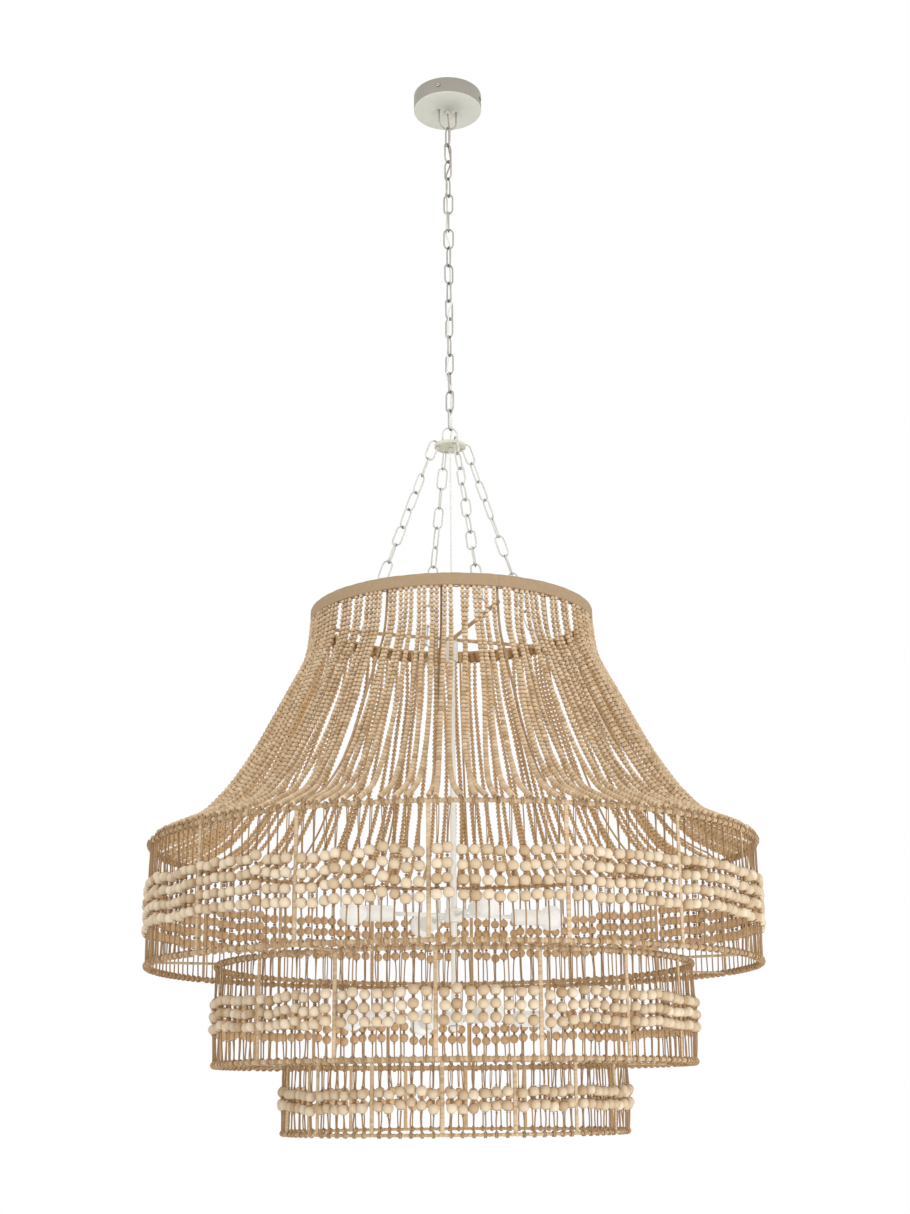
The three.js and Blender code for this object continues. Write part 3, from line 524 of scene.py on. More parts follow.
def drawn_metal(name, roughness, metallic, *colors):
    """Plated wire: a slightly uneven plate with duller patches, and painted shade where links meet each other
    and on a screw's rim and recess.
    """
    bright, dull, shade_spot = map(linear, colors)
    paint = Paint(name, roughness, metallic)
    spot = paint.place()
    patches = paint.noise(spot, 60.0, 3.0, 0.6)
    scratches = paint.noise(spot, 900.0, 2.0, 0.5)
    plate = paint.mix(paint.spread(patches, 0.0, 0.9), bright, dull)
    # Painted shade where the pole attribute marks it.
    paint.set("Base Color", paint.mix(paint.attribute("pole", "Fac"), plate, shade_spot))
    paint.set("Roughness", paint.spread(scratches, roughness - 0.08, roughness + 0.12))
    paint.bump(scratches, 0.06, 0.0002)
    return paint.material


def clear_plastic(name, *colors):
    """Clear sheath: the wires inside show as a soft tint under a glossy skin, darker near the ceiling as
    painted shade.
    """
    painted_shade, core, skin = map(linear, colors)
    paint = Paint(name, 0.22)
    spot = paint.place()
    cloud = paint.noise(spot, 160.0, 2.0, 0.5)
    height = paint.node("ShaderNodeSeparateXYZ", {"Vector": spot}).outputs[2]
    # Painted shade: above the two heights the sheath takes its darker first colour, fading out between them.
    upper = paint.spread(height, 0.0, 1.0, CORD_PALE_Z * MM, CORD_DARK_Z * MM)
    paint.set("Base Color", paint.mix(upper, paint.mix(paint.spread(cloud, 0.1, 0.9), core, skin), painted_shade))
    paint.set("Roughness", paint.spread(cloud, 0.16, 0.3))
    paint.set("Coat Weight", 0.4)
    paint.set("Coat Roughness", 0.1)
    return paint.material


def frosted(name, *colors):
    """Frosted lamp glass, white through and through."""
    glass, shade = map(linear, colors)
    paint = Paint(name, 0.42)
    spot = paint.place()
    grain = paint.noise(spot, 1500.0, 2.0, 0.5)
    cloud = paint.noise(spot, 30.0, 2.0, 0.5)
    paint.set("Base Color", paint.mix(paint.spread(cloud, 0.0, 0.6), glass, shade))
    paint.set("Roughness", paint.spread(grain, 0.34, 0.5))
    paint.bump(grain, 0.05, 0.0001)
    paint.set("Coat Weight", 0.15)
    paint.set("Subsurface Weight", 0.2)
    paint.set("Subsurface Radius", (0.01, 0.01, 0.01))
    return paint.material


small_wood = bead_wood(
    "small_bead_wood", (226, 202, 170), (201, 175, 140), (170, 141, 105), (118, 88, 56), (208, 166, 112)
)
large_wood = bead_wood(
    "large_bead_wood", (226, 211, 187), (205, 186, 157), (178, 150, 115), (122, 88, 54), (208, 166, 116)
)
dark_wood = bead_wood(
    "spacer_wood", (178, 142, 102), (156, 119, 80), (126, 92, 58), (96, 66, 40), (146, 106, 66)
)
brown_cord = wrapped_fibre("brown_cord", (196, 168, 132), (168, 138, 102), (130, 100, 68), (182, 144, 98))
pale_wrap = wrapped_fibre("pale_wrap", (224, 204, 174), (204, 180, 148), (168, 140, 104), (200, 164, 120))
hoop_wrap = wrapped_fibre("hoop_wrap", (216, 193, 162), (188, 163, 130), (138, 109, 77), (194, 158, 114))
bar_wrap = wrapped_fibre("bar_wrap", (212, 186, 150), (192, 163, 125), (148, 116, 80), (184, 148, 104))
knot_fibre = wrapped_fibre("knot_fibre", (166, 130, 90), (140, 106, 70), (104, 76, 48), (134, 98, 62))
strap_jute = woven_strap("strap_jute", 3.3, (198, 174, 143), (138, 112, 82), (134, 108, 78), (172, 134, 88))
# The canopy's cream paint in shaded and lit copies: the darker side wall is painted shade, the lighter face
# and hub plate painted light.
shaded_wall_paint = speckled_paint("shaded_wall_paint", 0.5, 0.3, (150, 145, 135), (132, 127, 117), (138, 132, 122))
lit_face_paint = speckled_paint("lit_face_paint", 0.5, 0.3, (212, 212, 202), (196, 194, 180), (205, 205, 194))
lit_plate_paint = speckled_paint("lit_plate_paint", 0.55, 0.04, (206, 206, 188), (190, 189, 170), (202, 202, 183))
chain_plate = drawn_metal("chain_plate", 0.4, 0.45, (182, 180, 172), (150, 147, 139), (98, 90, 82))
pale_plate = drawn_metal("pale_plate", 0.4, 0.35, (214, 214, 208), (192, 191, 184), (150, 147, 139))
loop_plate = drawn_metal("loop_plate", 0.45, 0.3, (180, 178, 167), (158, 156, 146), (124, 122, 114))
screw_plate = drawn_metal("screw_plate", 0.4, 0.3, (214, 210, 200), (186, 181, 171), (74, 70, 64))
# Each first colour is the painted shade that the cord and its grip take near the ceiling.
clear_cord = clear_plastic("clear_cord", (158, 142, 126), (212, 209, 202), (228, 226, 221))
grip_plastic = clear_plastic("grip_plastic", (206, 197, 187), (212, 209, 202), (228, 226, 221))
white_enamel = speckled_paint("white_enamel", 0.42, 0.3, (236, 236, 230), (222, 222, 215), (228, 228, 221))
grey_enamel = speckled_paint("grey_enamel", 0.45, 0.4, (226, 224, 216), (206, 203, 194), (216, 213, 205))
lamp_glass = frosted("lamp_glass", (246, 246, 243), (238, 239, 236))
bracket_zinc = drawn_metal("bracket_zinc", 0.45, 0.8, (190, 190, 186), (160, 160, 156), (90, 88, 84))


# Meshes
class Shape:
    """Surface parts gathered as arrays, then made into one mesh with its tone, grain and pole attributes."""

    def __init__(self):
        self.points, self.tones, self.grains, self.poles = [], [], [], []
        self.loops, self.sizes, self.slots = [], [], []
        self.count = 0

    def add(self, points, faces, slot=0, tone=0.5, grain=None, pole=0.0):
        points = np.asarray(points, float).reshape(-1, 3)
        total = len(points)
        first = self.count
        self.points.append(points)
        self.tones.append(np.broadcast_to(np.asarray(tone, float), total))
        self.poles.append(np.broadcast_to(np.asarray(pole, float), total))
        self.grains.append(points if grain is None else np.asarray(grain, float).reshape(-1, 3))
        self.count += total
        self.add_faces(np.asarray(faces, int) + first, slot)

    def add_faces(self, faces, slot):
        """Faces over points that are already there."""
        self.loops.append(faces.ravel())
        self.sizes.append(np.full(len(faces), faces.shape[1]))
        self.slots.append(np.broadcast_to(np.asarray(slot, int), len(faces)))

    def make(self, name, materials):
        mesh = bpy.data.meshes.new(name)
        loops = np.concatenate(self.loops)
        sizes = np.concatenate(self.sizes)
        mesh.vertices.add(self.count)
        mesh.vertices.foreach_set("co", (np.concatenate(self.points) * MM).ravel())
        mesh.loops.add(len(loops))
        mesh.loops.foreach_set("vertex_index", loops)
        mesh.polygons.add(len(sizes))
        mesh.polygons.foreach_set("loop_start", np.concatenate([[0], np.cumsum(sizes)[:-1]]))
        mesh.polygons.foreach_set("material_index", np.concatenate(self.slots))
        mesh.update(calc_edges=True)
        mesh.shade_smooth()
        for key, kind, field, values in (
            ("tone", "FLOAT", "value", self.tones),
            ("pole", "FLOAT", "value", self.poles),
            ("grain", "FLOAT_VECTOR", "vector", self.grains),
        ):
            attribute = mesh.attributes.new(key, kind, "POINT")
            attribute.data.foreach_set(field, np.concatenate(values).ravel())
        for material in materials:
            mesh.materials.append(material)
        made = bpy.data.objects.new(name, mesh)
        bpy.context.scene.collection.objects.link(made)
        return made


def weld(made):
    """Joins doubled points, as on a lathe's axis, and turns every face outward."""
    work = bmesh.new()
    work.from_mesh(made.data)
    bmesh.ops.remove_doubles(work, verts=work.verts, dist=0.00002)
    bmesh.ops.recalc_face_normals(work, faces=work.faces)
    work.to_mesh(made.data)
    work.free()


def finish_piece(shape, name, materials, body, slot, *replaced):
    made = shape.make(name, materials)
    if shape.count < WELD_LIMIT:
        weld(made)
    if body:
        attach(made, body)
    if replaced:
        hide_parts(*replaced)
    return made


def grid_faces(rows, columns, wrap_rows=False):
    """Quads over a grid of points, columns running fastest and closing on themselves."""
    row = np.arange(rows if wrap_rows else rows - 1)
    i, j = np.meshgrid(row, np.arange(columns), indexing="ij")
    after, beside = (i + 1) % rows * columns, (j + 1) % columns
    return np.stack([i * columns + j, i * columns + beside, after + beside, after + j], -1).reshape(-1, 4)


def turns_round(steps):
    return np.arange(steps) * FULL / steps


def outward(angle):
    return np.stack([np.sin(angle), -np.cos(angle), np.zeros(np.shape(angle))], -1)


def polar(radius, angle, height):
    """Points at a radius, an angle from -Y towards +X, and a height."""
    radius, angle, height = np.broadcast_arrays(np.asarray(radius, float), angle, height)
    return np.stack([radius * np.sin(angle), -radius * np.cos(angle), height], -1)


def run_along(points):
    """Length along a line from its start to each of its points."""
    return np.concatenate([[0], np.cumsum(np.linalg.norm(np.diff(points, axis=0), axis=1))])


def walk(points, lengths, at):
    """Points at given lengths along a line."""
    return np.stack([np.interp(at, lengths, points[:, k]) for k in range(points.shape[1])], -1)


def unit(ways):
    return ways / np.linalg.norm(ways, axis=1, keepdims=True)


def frames(path, closed=False):
    """Tangent and two normals at each point of a path, carried along it without twist."""
    if closed:
        ahead, behind = np.roll(path, -1, 0), np.roll(path, 1, 0)
    else:
        ahead = np.vstack([path[1:], 2 * path[-1] - path[-2]])
        behind = np.vstack([2 * path[0] - path[1], path[:-1]])
    tangent = unit(ahead - behind)
    start = np.array([0.0, 0.0, 1.0]) if abs(tangent[0][2]) < 0.9 else np.array([1.0, 0.0, 0.0])
    first = np.empty_like(path)
    carried = start - tangent[0] * tangent[0].dot(start)
    for i, way in enumerate(tangent):
        carried = carried - way * way.dot(carried)
        carried = carried / np.linalg.norm(carried)
        first[i] = carried
    return tangent, first, np.cross(tangent, first)


def add_rings(shape, points, slot=0, tone=0.5, pole=0.0, closed=False):
    """Skin over rings of points along a path, with a flat fan over each end unless the path is closed."""
    count, sides = points.shape[:2]
    tone = np.repeat(np.broadcast_to(np.asarray(tone, float), count), sides)
    pole = np.repeat(np.broadcast_to(np.asarray(pole, float), count), sides)
    faces = grid_faces(count, sides, closed)
    if closed:
        shape.add(points, faces, slot, tone, None, pole)
        return
    first = shape.count
    middles = points[[0, -1]].mean(axis=1)
    tone = np.append(tone, tone[[0, -1]])
    pole = np.append(pole, pole[[0, -1]])
    shape.add(np.vstack([points.reshape(-1, 3), middles]), faces, slot, tone, None, pole)
    around = np.arange(sides) + first
    beside = (np.arange(sides) + 1) % sides + first
    centre = np.full(sides, first + count * sides)
    last = (count - 1) * sides
    shape.add_faces(np.stack([centre, beside, around], -1), slot)
    shape.add_faces(np.stack([centre + 1, around + last, beside + last], -1), slot)


def add_tube(shape, path, radius, sides, slot=0, closed=False, tone=0.5, pole=0.0):
    """Round tube along a path."""
    path = np.asarray(path, float)
    _, first, second = frames(path, closed)
    angle = turns_round(sides)[None, :, None]
    ring = first[:, None] * np.cos(angle) + second[:, None] * np.sin(angle)
    add_rings(shape, path[:, None] + ring * radius, slot, tone, pole, closed)


def revolved(profile, segments):
    """Points of a profile of [radius, height] turned about the Z axis, running round fastest."""
    profile = np.asarray(profile, float)
    angle = turns_round(segments)
    radius, height = profile[:, :1], np.broadcast_to(profile[:, 1:], (len(profile), segments))
    return np.stack([radius * np.cos(angle), radius * np.sin(angle), height], -1).reshape(-1, 3)


def lathe(shape, profile, segments, slot=0, place=None):
    """Revolved profile, outer side rising; place maps its points to where they belong."""
    points = revolved(profile, segments)
    shape.add(points if place is None else place(points), grid_faces(len(profile), segments), slot)


def disc(radius, low, high, axis=0.0):
    """Profile of a solid disc between two heights."""
    return [(axis, low), (radius, low), (radius, high), (axis, high)]


def sleeve(inner, outer, low, high):
    """Closed profile of a sleeve between two radii and two heights."""
    return [(inner, low), (outer, low), (outer, high), (inner, high), (inner, low)]


def rounded(profile, size, steps=4):
    """Profile with each inner corner rounded off, by a quadratic curve."""
    profile = [np.asarray(p, float) for p in profile]
    made = [profile[0]]
    for before, corner, after in zip(profile, profile[1:], profile[2:]):
        into, out = before - corner, after - corner
        reach = min(size, np.linalg.norm(into) / 2, np.linalg.norm(out) / 2)
        start = corner + into / max(np.linalg.norm(into), 1e-9) * reach
        end = corner + out / max(np.linalg.norm(out), 1e-9) * reach
        for share in np.linspace(0, 1, steps):
            made.append((1 - share) ** 2 * start + 2 * share * (1 - share) * corner + share ** 2 * end)
    made.append(profile[-1])
    return np.array(made)


def moved(x, y=0.0):
    return lambda points: points + np.array([x, y, 0.0])


def lying(angle, height):
    """Maps a shape revolved about Z to one that lies pointing outward at an angle, at a height."""
    turn = np.stack([outward(angle + math.pi / 2), [0, 0, -1.0], outward(angle)])
    return lambda points: points @ turn + np.array([0, 0, height])


def smooth_path(points, spacing):
    """Points evenly along a Catmull-Rom curve through the given ones."""
    points = np.asarray(points, float)
    padded = np.vstack([2 * points[0] - points[1], points, 2 * points[-1] - points[-2]])
    share = np.arange(12)[:, None] / 12
    dense = []
    for a, b, c, d in zip(padded, padded[1:], padded[2:], padded[3:]):
        square = (2 * a - 5 * b + 4 * c - d) * share ** 2
        cube = (3 * b - a - 3 * c + d) * share ** 3
        dense.append(0.5 * (2 * b + (c - a) * share + square + cube))
    dense = np.vstack([*dense, points[-1]])
    lengths = run_along(dense)
    count = max(2, int(round(lengths[-1] / spacing)) + 1)
    return walk(dense, lengths, np.linspace(0, lengths[-1], count))


def ball(segments, rings):
    """Unit ball about the Z axis with flat poles: points, quads and the fans over both cord holes."""
    angle = np.linspace(0.12, 0.88, rings) * math.pi
    profile = np.stack([np.sin(angle), np.cos(angle)], -1)
    points = np.vstack([revolved(profile, segments), [[0, 0, profile[0][1]], [0, 0, profile[-1][1]]]])
    around = np.arange(segments)
    beside = (around + 1) % segments
    centre = np.full(segments, rings * segments)
    last = (rings - 1) * segments
    fans = [
        np.stack([centre, around, beside], -1),
        np.stack([centre + 1, beside + last, around + last], -1),
    ]
    return points, grid_faces(rings, segments)[:, ::-1], np.vstack(fans)


large_ball = ball(16, 9)
small_ball = ball(10, 6)
knot_ball = ball(8, 4)


def add_balls(shape, template, centres, axes, radii, slot, tones, squash=1.0):
    """Copies of a ball along their own axes, each with its own tone, spin and grain."""
    points, quads, fans = template
    centres = np.asarray(centres, float)
    axes = unit(np.asarray(axes, float))
    count, size = len(centres), len(points)
    helper = np.where(np.abs(axes[:, 2:3]) < 0.9, np.array([[0, 0, 1.0]]), np.array([[1.0, 0, 0]]))
    side = unit(np.cross(helper, axes))
    other = np.cross(axes, side)
    spin = chance.uniform(0, FULL, count)[:, None]
    first = side * np.cos(spin) + other * np.sin(spin)
    second = np.cross(axes, first)
    local = points[None] * np.broadcast_to(radii, count)[:, None, None]
    local[..., 2] *= squash
    turned = local @ np.stack([first, second, axes], 1)
    grain = local + chance.uniform(-400, 400, (count, 1, 3))
    base = np.arange(count)[:, None, None] * size
    pole = np.tile(np.abs(points[:, 2]), count)
    start = shape.count
    quads = (quads[None] + base).reshape(-1, 4)
    shape.add(centres[:, None] + turned, quads, slot, np.repeat(tones, size), grain, pole)
    shape.add_faces((fans[None] + base).reshape(-1, 3) + start, slot)


def add_wrapped(shape, path, section, slot, up=None, pitch=WRAP_PITCH, ridge=0.1, slant=0.5):
    """Bar of a flat or round section wound with cord: two rings a turn, the second drawn in, and slanted."""
    path = np.asarray(path, float)
    lengths = run_along(path)
    steps = max(4, 2 * int(round(lengths[-1] / pitch)))
    spine = walk(path, lengths, np.linspace(0, lengths[-1], steps + 1))
    tangent, first, second = frames(spine)
    if up is not None:
        first = up(spine)
        first = unit(first - tangent * np.sum(tangent * first, 1, keepdims=True))
        second = np.cross(tangent, first)
    scale = np.where(np.arange(len(spine)) % 2 == 0, 1.0, 1.0 - ridge)[:, None, None]
    lean = np.sin(np.arctan2(section[:, 1], section[:, 0])) * slant
    thick, wide = section[None, :, 0:1] * scale, section[None, :, 1:2] * scale
    across = first[:, None] * thick + second[:, None] * wide
    turns = np.repeat(chance.uniform(0.1, 1, len(spine) // 2 + 1), 2)[: len(spine)]
    # Painted shade: the drawn-in ring between turns takes a lower, darker tone.
    turns[1::2] *= 0.45
    add_rings(shape, spine[:, None] + across + tangent[:, None] * lean[None, :, None], slot, turns)


def add_rope_hoop(shape, radius, height, diameter, slot):
    """Wire hoop wound with two cords side by side, so that slanted ridges run round it."""
    ridges = int(round(FULL * radius / ROPE_RIDGE))
    steps = ridges * ROPE_STEPS
    along = np.arange(steps) / ROPE_STEPS
    around = np.arange(ROPE_SIDES) / ROPE_SIDES
    swell = np.abs(np.cos((along[:, None] - 1.25 * around) * math.pi)) ** 0.7
    uneven = 1 + 0.05 * np.interp(along, np.arange(ridges + 1), chance.uniform(-1, 1, ridges + 1))
    reach = diameter / 2 * (1 - ROPE_DEPTH + ROPE_DEPTH * swell) * uneven[:, None]
    turn = FULL * around
    points = polar(radius + reach * np.cos(turn), turns_round(steps)[:, None], height - reach * np.sin(turn))
    tones = chance.uniform(0.15, 1, ridges)
    # Painted shade: each ridge's tone falls off into the grooves beside it.
    tone = tones[np.floor(along).astype(int) % ridges][:, None] * (0.35 + 0.65 * swell)
    shape.add(points, grid_faces(steps, ROPE_SIDES, True), slot, tone.ravel())


def round_section(diameter, sides):
    angle = turns_round(sides)
    return np.stack([np.cos(angle), np.sin(angle)], -1) * diameter / 2


def flat_section(width, thickness):
    """Flat bar with cut corners: thickness along the first axis, width along the second."""
    thick, wide, cut = thickness / 2, width / 2, thickness / 4
    return np.array([
        (thick, -wide + cut), (thick, wide - cut), (thick - cut, wide), (-thick + cut, wide),
        (-thick, wide - cut), (-thick, -wide + cut), (-thick + cut, -wide), (thick - cut, -wide),
    ])


def radial(points):
    return points * [1.0, 1.0, 0.0]


# Canopy
def make_cover():
    cover = Shape()
    inner = CANOPY_RADIUS - CANOPY_WALL
    hole = BUSHING_RADIUS + CLEARANCE
    inside = -CANOPY_HEIGHT + CANOPY_WALL
    outline = rounded([
        (hole, -CANOPY_HEIGHT), (CANOPY_RADIUS, -CANOPY_HEIGHT), (CANOPY_RADIUS, 0), (inner, 0),
        (inner, inside), (hole, inside), (hole, -CANOPY_HEIGHT),
    ], CANOPY_EDGE)
    heights = (outline[:-1, 1] + outline[1:, 1]) / 2
    # The side wall takes the painted-shade copy, the face the painted-light copy.
    face = heights < -CANOPY_HEIGHT + CANOPY_EDGE * 0.3
    lathe(cover, outline, 128, np.repeat(face.astype(int), 128))
    finish_piece(cover, "canopy_shell", [shaded_wall_paint, lit_face_paint], "canopy", "cream_paint", "canopy_cover")


def make_screw(index):
    """Screw with a domed head and a cross recess in it; its rim and recess are darkened as painted shade."""
    rings, spokes = 12, 48
    seat = CANOPY_RADIUS + CLEARANCE
    tip = seat - SCREW_LENGTH
    turn = turns_round(spokes)
    share = np.linspace(1, 0, rings)[:, None]
    across, along = share * SCREW_HEAD * np.cos(turn), share * SCREW_HEAD * np.sin(turn)
    cross = np.minimum(np.abs(across), np.abs(along)) < RECESS_WIDTH
    recess = cross & (share * SCREW_HEAD < RECESS_REACH)
    dome = seat + SCREW_HEAD_HEIGHT * np.sqrt(1 - SCREW_DOME * share ** 2)
    head = np.stack([across, along, dome - RECESS_DEPTH * recess], -1).reshape(-1, 3)
    shank = [(0, tip), (SCREW_SHANK, tip), (SCREW_SHANK, seat), (SCREW_HEAD, seat)]
    place = lying(SCREW_TURN + index * FULL / SCREW_COUNT, -SCREW_DEPTH)
    points = place(np.vstack([revolved(shank, spokes), head]))
    # Painted shade on the rim and in the recess; the shank is dark too, inside the wall.
    shade_spot = np.append(np.ones(len(shank) * spokes), recess | (share > SCREW_RIM))
    screw = Shape()
    screw.add(points, grid_faces(len(shank) + rings, spokes), pole=shade_spot)
    name = f"canopy_screw_{index + 1}"
    finish_piece(screw, name + "_head", [screw_plate], name + "_body", "screw_metal", name)


def arch_path(half, bend_z, foot_z, way):
    """Wire from a foot round a half circle to the other foot; way is 1 where it bends over, -1 under."""
    bend = np.linspace(0, math.pi, 33)
    x, rise = way * half * np.cos(bend), way * half * (np.sin(bend) - 1)
    arch = np.stack([x, np.zeros(len(bend)), bend_z + rise], -1)
    return np.vstack([[way * half, 0, foot_z], arch, [-way * half, 0, foot_z]])


def make_loop():
    """Wire loop under the canopy, with a collar and a nut on each foot."""
    loop = Shape()
    half = (LOOP_WIDTH - LOOP_WIRE) / 2
    add_tube(loop, arch_path(half, LOOP_BEND_Z, -CANOPY_HEIGHT + LOOP_FOOT, -1), LOOP_WIRE / 2, 14)
    low = -CANOPY_HEIGHT - COLLAR_DROP
    for side in (-half, half):
        lathe(loop, disc(COLLAR_RADIUS, low, low + COLLAR_HEIGHT), 24, 0, moved(side))
        lathe(loop, disc(NUT_RADIUS, CANOPY_SEAT_Z, CANOPY_SEAT_Z + NUT_HEIGHT), 6, 0, moved(side))
    finish_piece(loop, "canopy_u_loop", [loop_plate], "canopy", "chain_metal", "canopy_loop")


def make_bushing():
    bushing = Shape()
    bore = CORD_DIAMETER / 2 + CLEARANCE
    low, seat = -CANOPY_HEIGHT - BUSHING_LENGTH, CANOPY_SEAT_Z
    top = seat + BUSHING_FLANGE_HEIGHT
    lathe(bushing, rounded([
        (bore, low), (BUSHING_RADIUS, low), (BUSHING_RADIUS, seat), (BUSHING_FLANGE, seat),
        (BUSHING_FLANGE, top), (bore, top), (bore, low),
    ], 0.6), 32)
    finish_piece(bushing, "cord_grip", [grip_plastic], "canopy", "clear_cord", "cord_bushing")


def paint_bracket():
    materials = nodes["ceiling_bracket"].data.materials
    materials.clear()
    materials.append(bracket_zinc)


# Main chain
def link_path(length, width, wire, steps=10):
    radius = (width - wire) / 2
    straight = (length - wire) / 2 - radius
    turn = np.linspace(0, math.pi, steps + 1)
    top = np.stack([radius * np.cos(turn), np.zeros(steps + 1), straight + radius * np.sin(turn)], -1)
    return np.vstack([top, -top])


def add_link(shape, length, width, wire, place, sides=12):
    """One link; its wire darkens at both ends, where the next links meet it: painted shade."""
    path = link_path(length, width, wire)
    end = (length - wire) / 2
    # Painted shade at both ends, where the next links meet this one.
    shade_spot = np.clip((np.abs(path[:, 2]) / end - 0.94) / 0.05, 0, 1)
    add_tube(shape, place(path), wire / 2, sides, 0, True, 0.5, shade_spot)


def spun(turn, axis="Z"):
    return np.array(Matrix.Rotation(turn, 3, axis))


def upright(turn, height):
    return lambda path: path @ spun(turn).T + np.array([0, 0, height])


def link_heights():
    inner = [SECOND_LINK_Z - i * LINK_PITCH for i in range(INNER_LINKS)]
    return [FIRST_LINK_Z, *inner, LAST_LINK_Z]


def make_chain():
    heights = link_heights()
    last = len(heights) - 1
    for name, body, replaced, start, end in (
        ("chain_first_link", "top_link", "chain_link_upper", 0, 1),
        ("chain_inner_links", "chain", "chain_links", 1, last),
        ("chain_last_link", "bottom_link", "chain_link_lower", last, last + 1),
    ):
        shape = Shape()
        for turn, height in zip(LINK_TURNS[start:end], heights[start:end]):
            add_link(shape, LINK_LENGTH, LINK_WIDTH, LINK_WIRE, upright(turn, height))
        finish_piece(shape, name, [chain_plate], body, "chain_metal", replaced)


# Supply cord
def settle(line):
    """Moves the cord's points sideways until its skin only touches the links that it passes."""
    wires = []
    for turn, height in zip(LINK_TURNS, link_heights()):
        path = upright(turn, height)(link_path(LINK_LENGTH, LINK_WIDTH, LINK_WIRE, 24))
        wires.append(smooth_path(np.vstack([path, path[:1]]), 1.5))
    wires = np.vstack(wires)
    clear = (CORD_DIAMETER + LINK_WIRE) / 2 + CORD_CLEAR
    rows = np.arange(len(line))
    for _ in range(40):
        gap = line[:, None] - wires[None]
        apart = np.linalg.norm(gap, axis=2)
        nearest = apart.argmin(axis=1)
        short = clear - apart[rows, nearest]
        way = gap[rows, nearest]
        way[:, 2] = 0
        way /= np.maximum(np.linalg.norm(way, axis=1, keepdims=True), 0.01)
        line += way * np.clip(short, 0, CORD_STEP)[:, None]
        line[1:-1, :2] = (line[:-2, :2] + 6 * line[1:-1, :2] + line[2:, :2]) / 8
    return line


def cord_route():
    """The cord's points: down through the bushing, beside the links, and through the plate to the stem."""
    x = y = CORD_ASIDE
    below_bushing = -CANOPY_HEIGHT - BUSHING_LENGTH - CORD_DIAMETER
    points = [(0, 0, CORD_TOP_Z), (0, 0, below_bushing), (x, y, CORD_JOIN_Z)]
    for i in range(0, INNER_LINKS - 1, CORD_CROSSING):
        for link, flip in ((i, (1, -1)), (i + 1, (-1, 1))):
            height = SECOND_LINK_Z - link * LINK_PITCH
            points.append((x, y, height + CORD_BEND / 2))
            x, y = x * flip[0], y * flip[1]
            points.append((x, y, height - CORD_BEND / 2))
    points += [(x, y, LAST_LINK_Z - CORD_LEAVE), (0, 0, HUB_TOP_Z + CORD_BEND / 2)]
    points += [(0, 0, BARS_Z + BAR_DIAMETER), (0, 0, CORD_END_Z)]
    return np.array(points, float)


def make_cord():
    """The cord in pieces: one on a single body rides it, and one that spans two bodies rides no body."""
    route = cord_route()
    lengths = run_along(route)
    line = walk(route, lengths, np.arange(0, lengths[-1], CORD_SPACING))
    for _ in range(3):
        line[1:-1] = (line[:-2] + 2 * line[1:-1] + line[2:]) / 4
    line = settle(line)
    start = CORD_TOP_Z
    for index, (end, bodies, bends) in enumerate(CORD_PIECES):
        held = (line[:, 2] <= start + CORD_LAP) & (line[:, 2] >= end - CORD_LAP)
        piece = Shape()
        add_tube(piece, line[held], CORD_DIAMETER / 2, 12)
        name, body = f"supply_cord_{index + 1}", None if bends else bodies[0]
        made = finish_piece(piece, name, [clear_cord], body, "clear_cord", "supply_cord")
        if bends:
            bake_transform(made)
        start = end


# Bail, plate and hangers
def make_bail():
    bail = Shape()
    half = (BAIL_WIDTH - BAIL_WIRE) / 2
    add_tube(bail, arch_path(half, BAIL_BEND_Z, HUB_TOP_Z + CLEARANCE, 1), BAIL_WIRE / 2, 12)
    finish_piece(bail, "hub_ring", [pale_plate], "shade", "chain_metal", "hub_bail")


def make_plate():
    """The plate is cut by its bore and its four chain holes, then its edges are broken."""
    plate, holes = Shape(), Shape()
    lathe(plate, disc(HUB_RADIUS, HUB_LOW_Z, HUB_TOP_Z, 0.01), 96)
    places = [(0, 0, HUB_BORE)]
    for k in range(HANGER_COUNT):
        places.append((*(outward(k * FULL / HANGER_COUNT)[:2] * CHAIN_HOLE_PLACE), CHAIN_HOLE))
    for x, y, radius in places:
        lathe(holes, disc(radius, HUB_LOW_Z - 2, HUB_TOP_Z + 2, 0.01), 32, 0, moved(x, y))
    # The plate takes the painted-light copy of the cream paint.
    blank = plate.make("hub_disc", [lit_plate_paint])
    drill = holes.make("hub_drill", [lit_plate_paint])
    weld(blank)
    weld(drill)
    cut = blank.modifiers.new("cut", "BOOLEAN")
    cut.object = drill
    cut.solver = "EXACT"
    edge = blank.modifiers.new("edge", "BEVEL")
    edge.width = HUB_EDGE * MM
    edge.segments = 2
    edge.limit_method = "ANGLE"
    bpy.context.view_layer.update()
    mesh = bpy.data.meshes.new_from_object(blank.evaluated_get(bpy.context.evaluated_depsgraph_get()))
    blank.modifiers.clear()
    blank.data = mesh
    bpy.data.objects.remove(drill)
    mesh.set_sharp_from_angle(angle=math.radians(40))
    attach(blank, "shade")
    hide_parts("hub_plate")


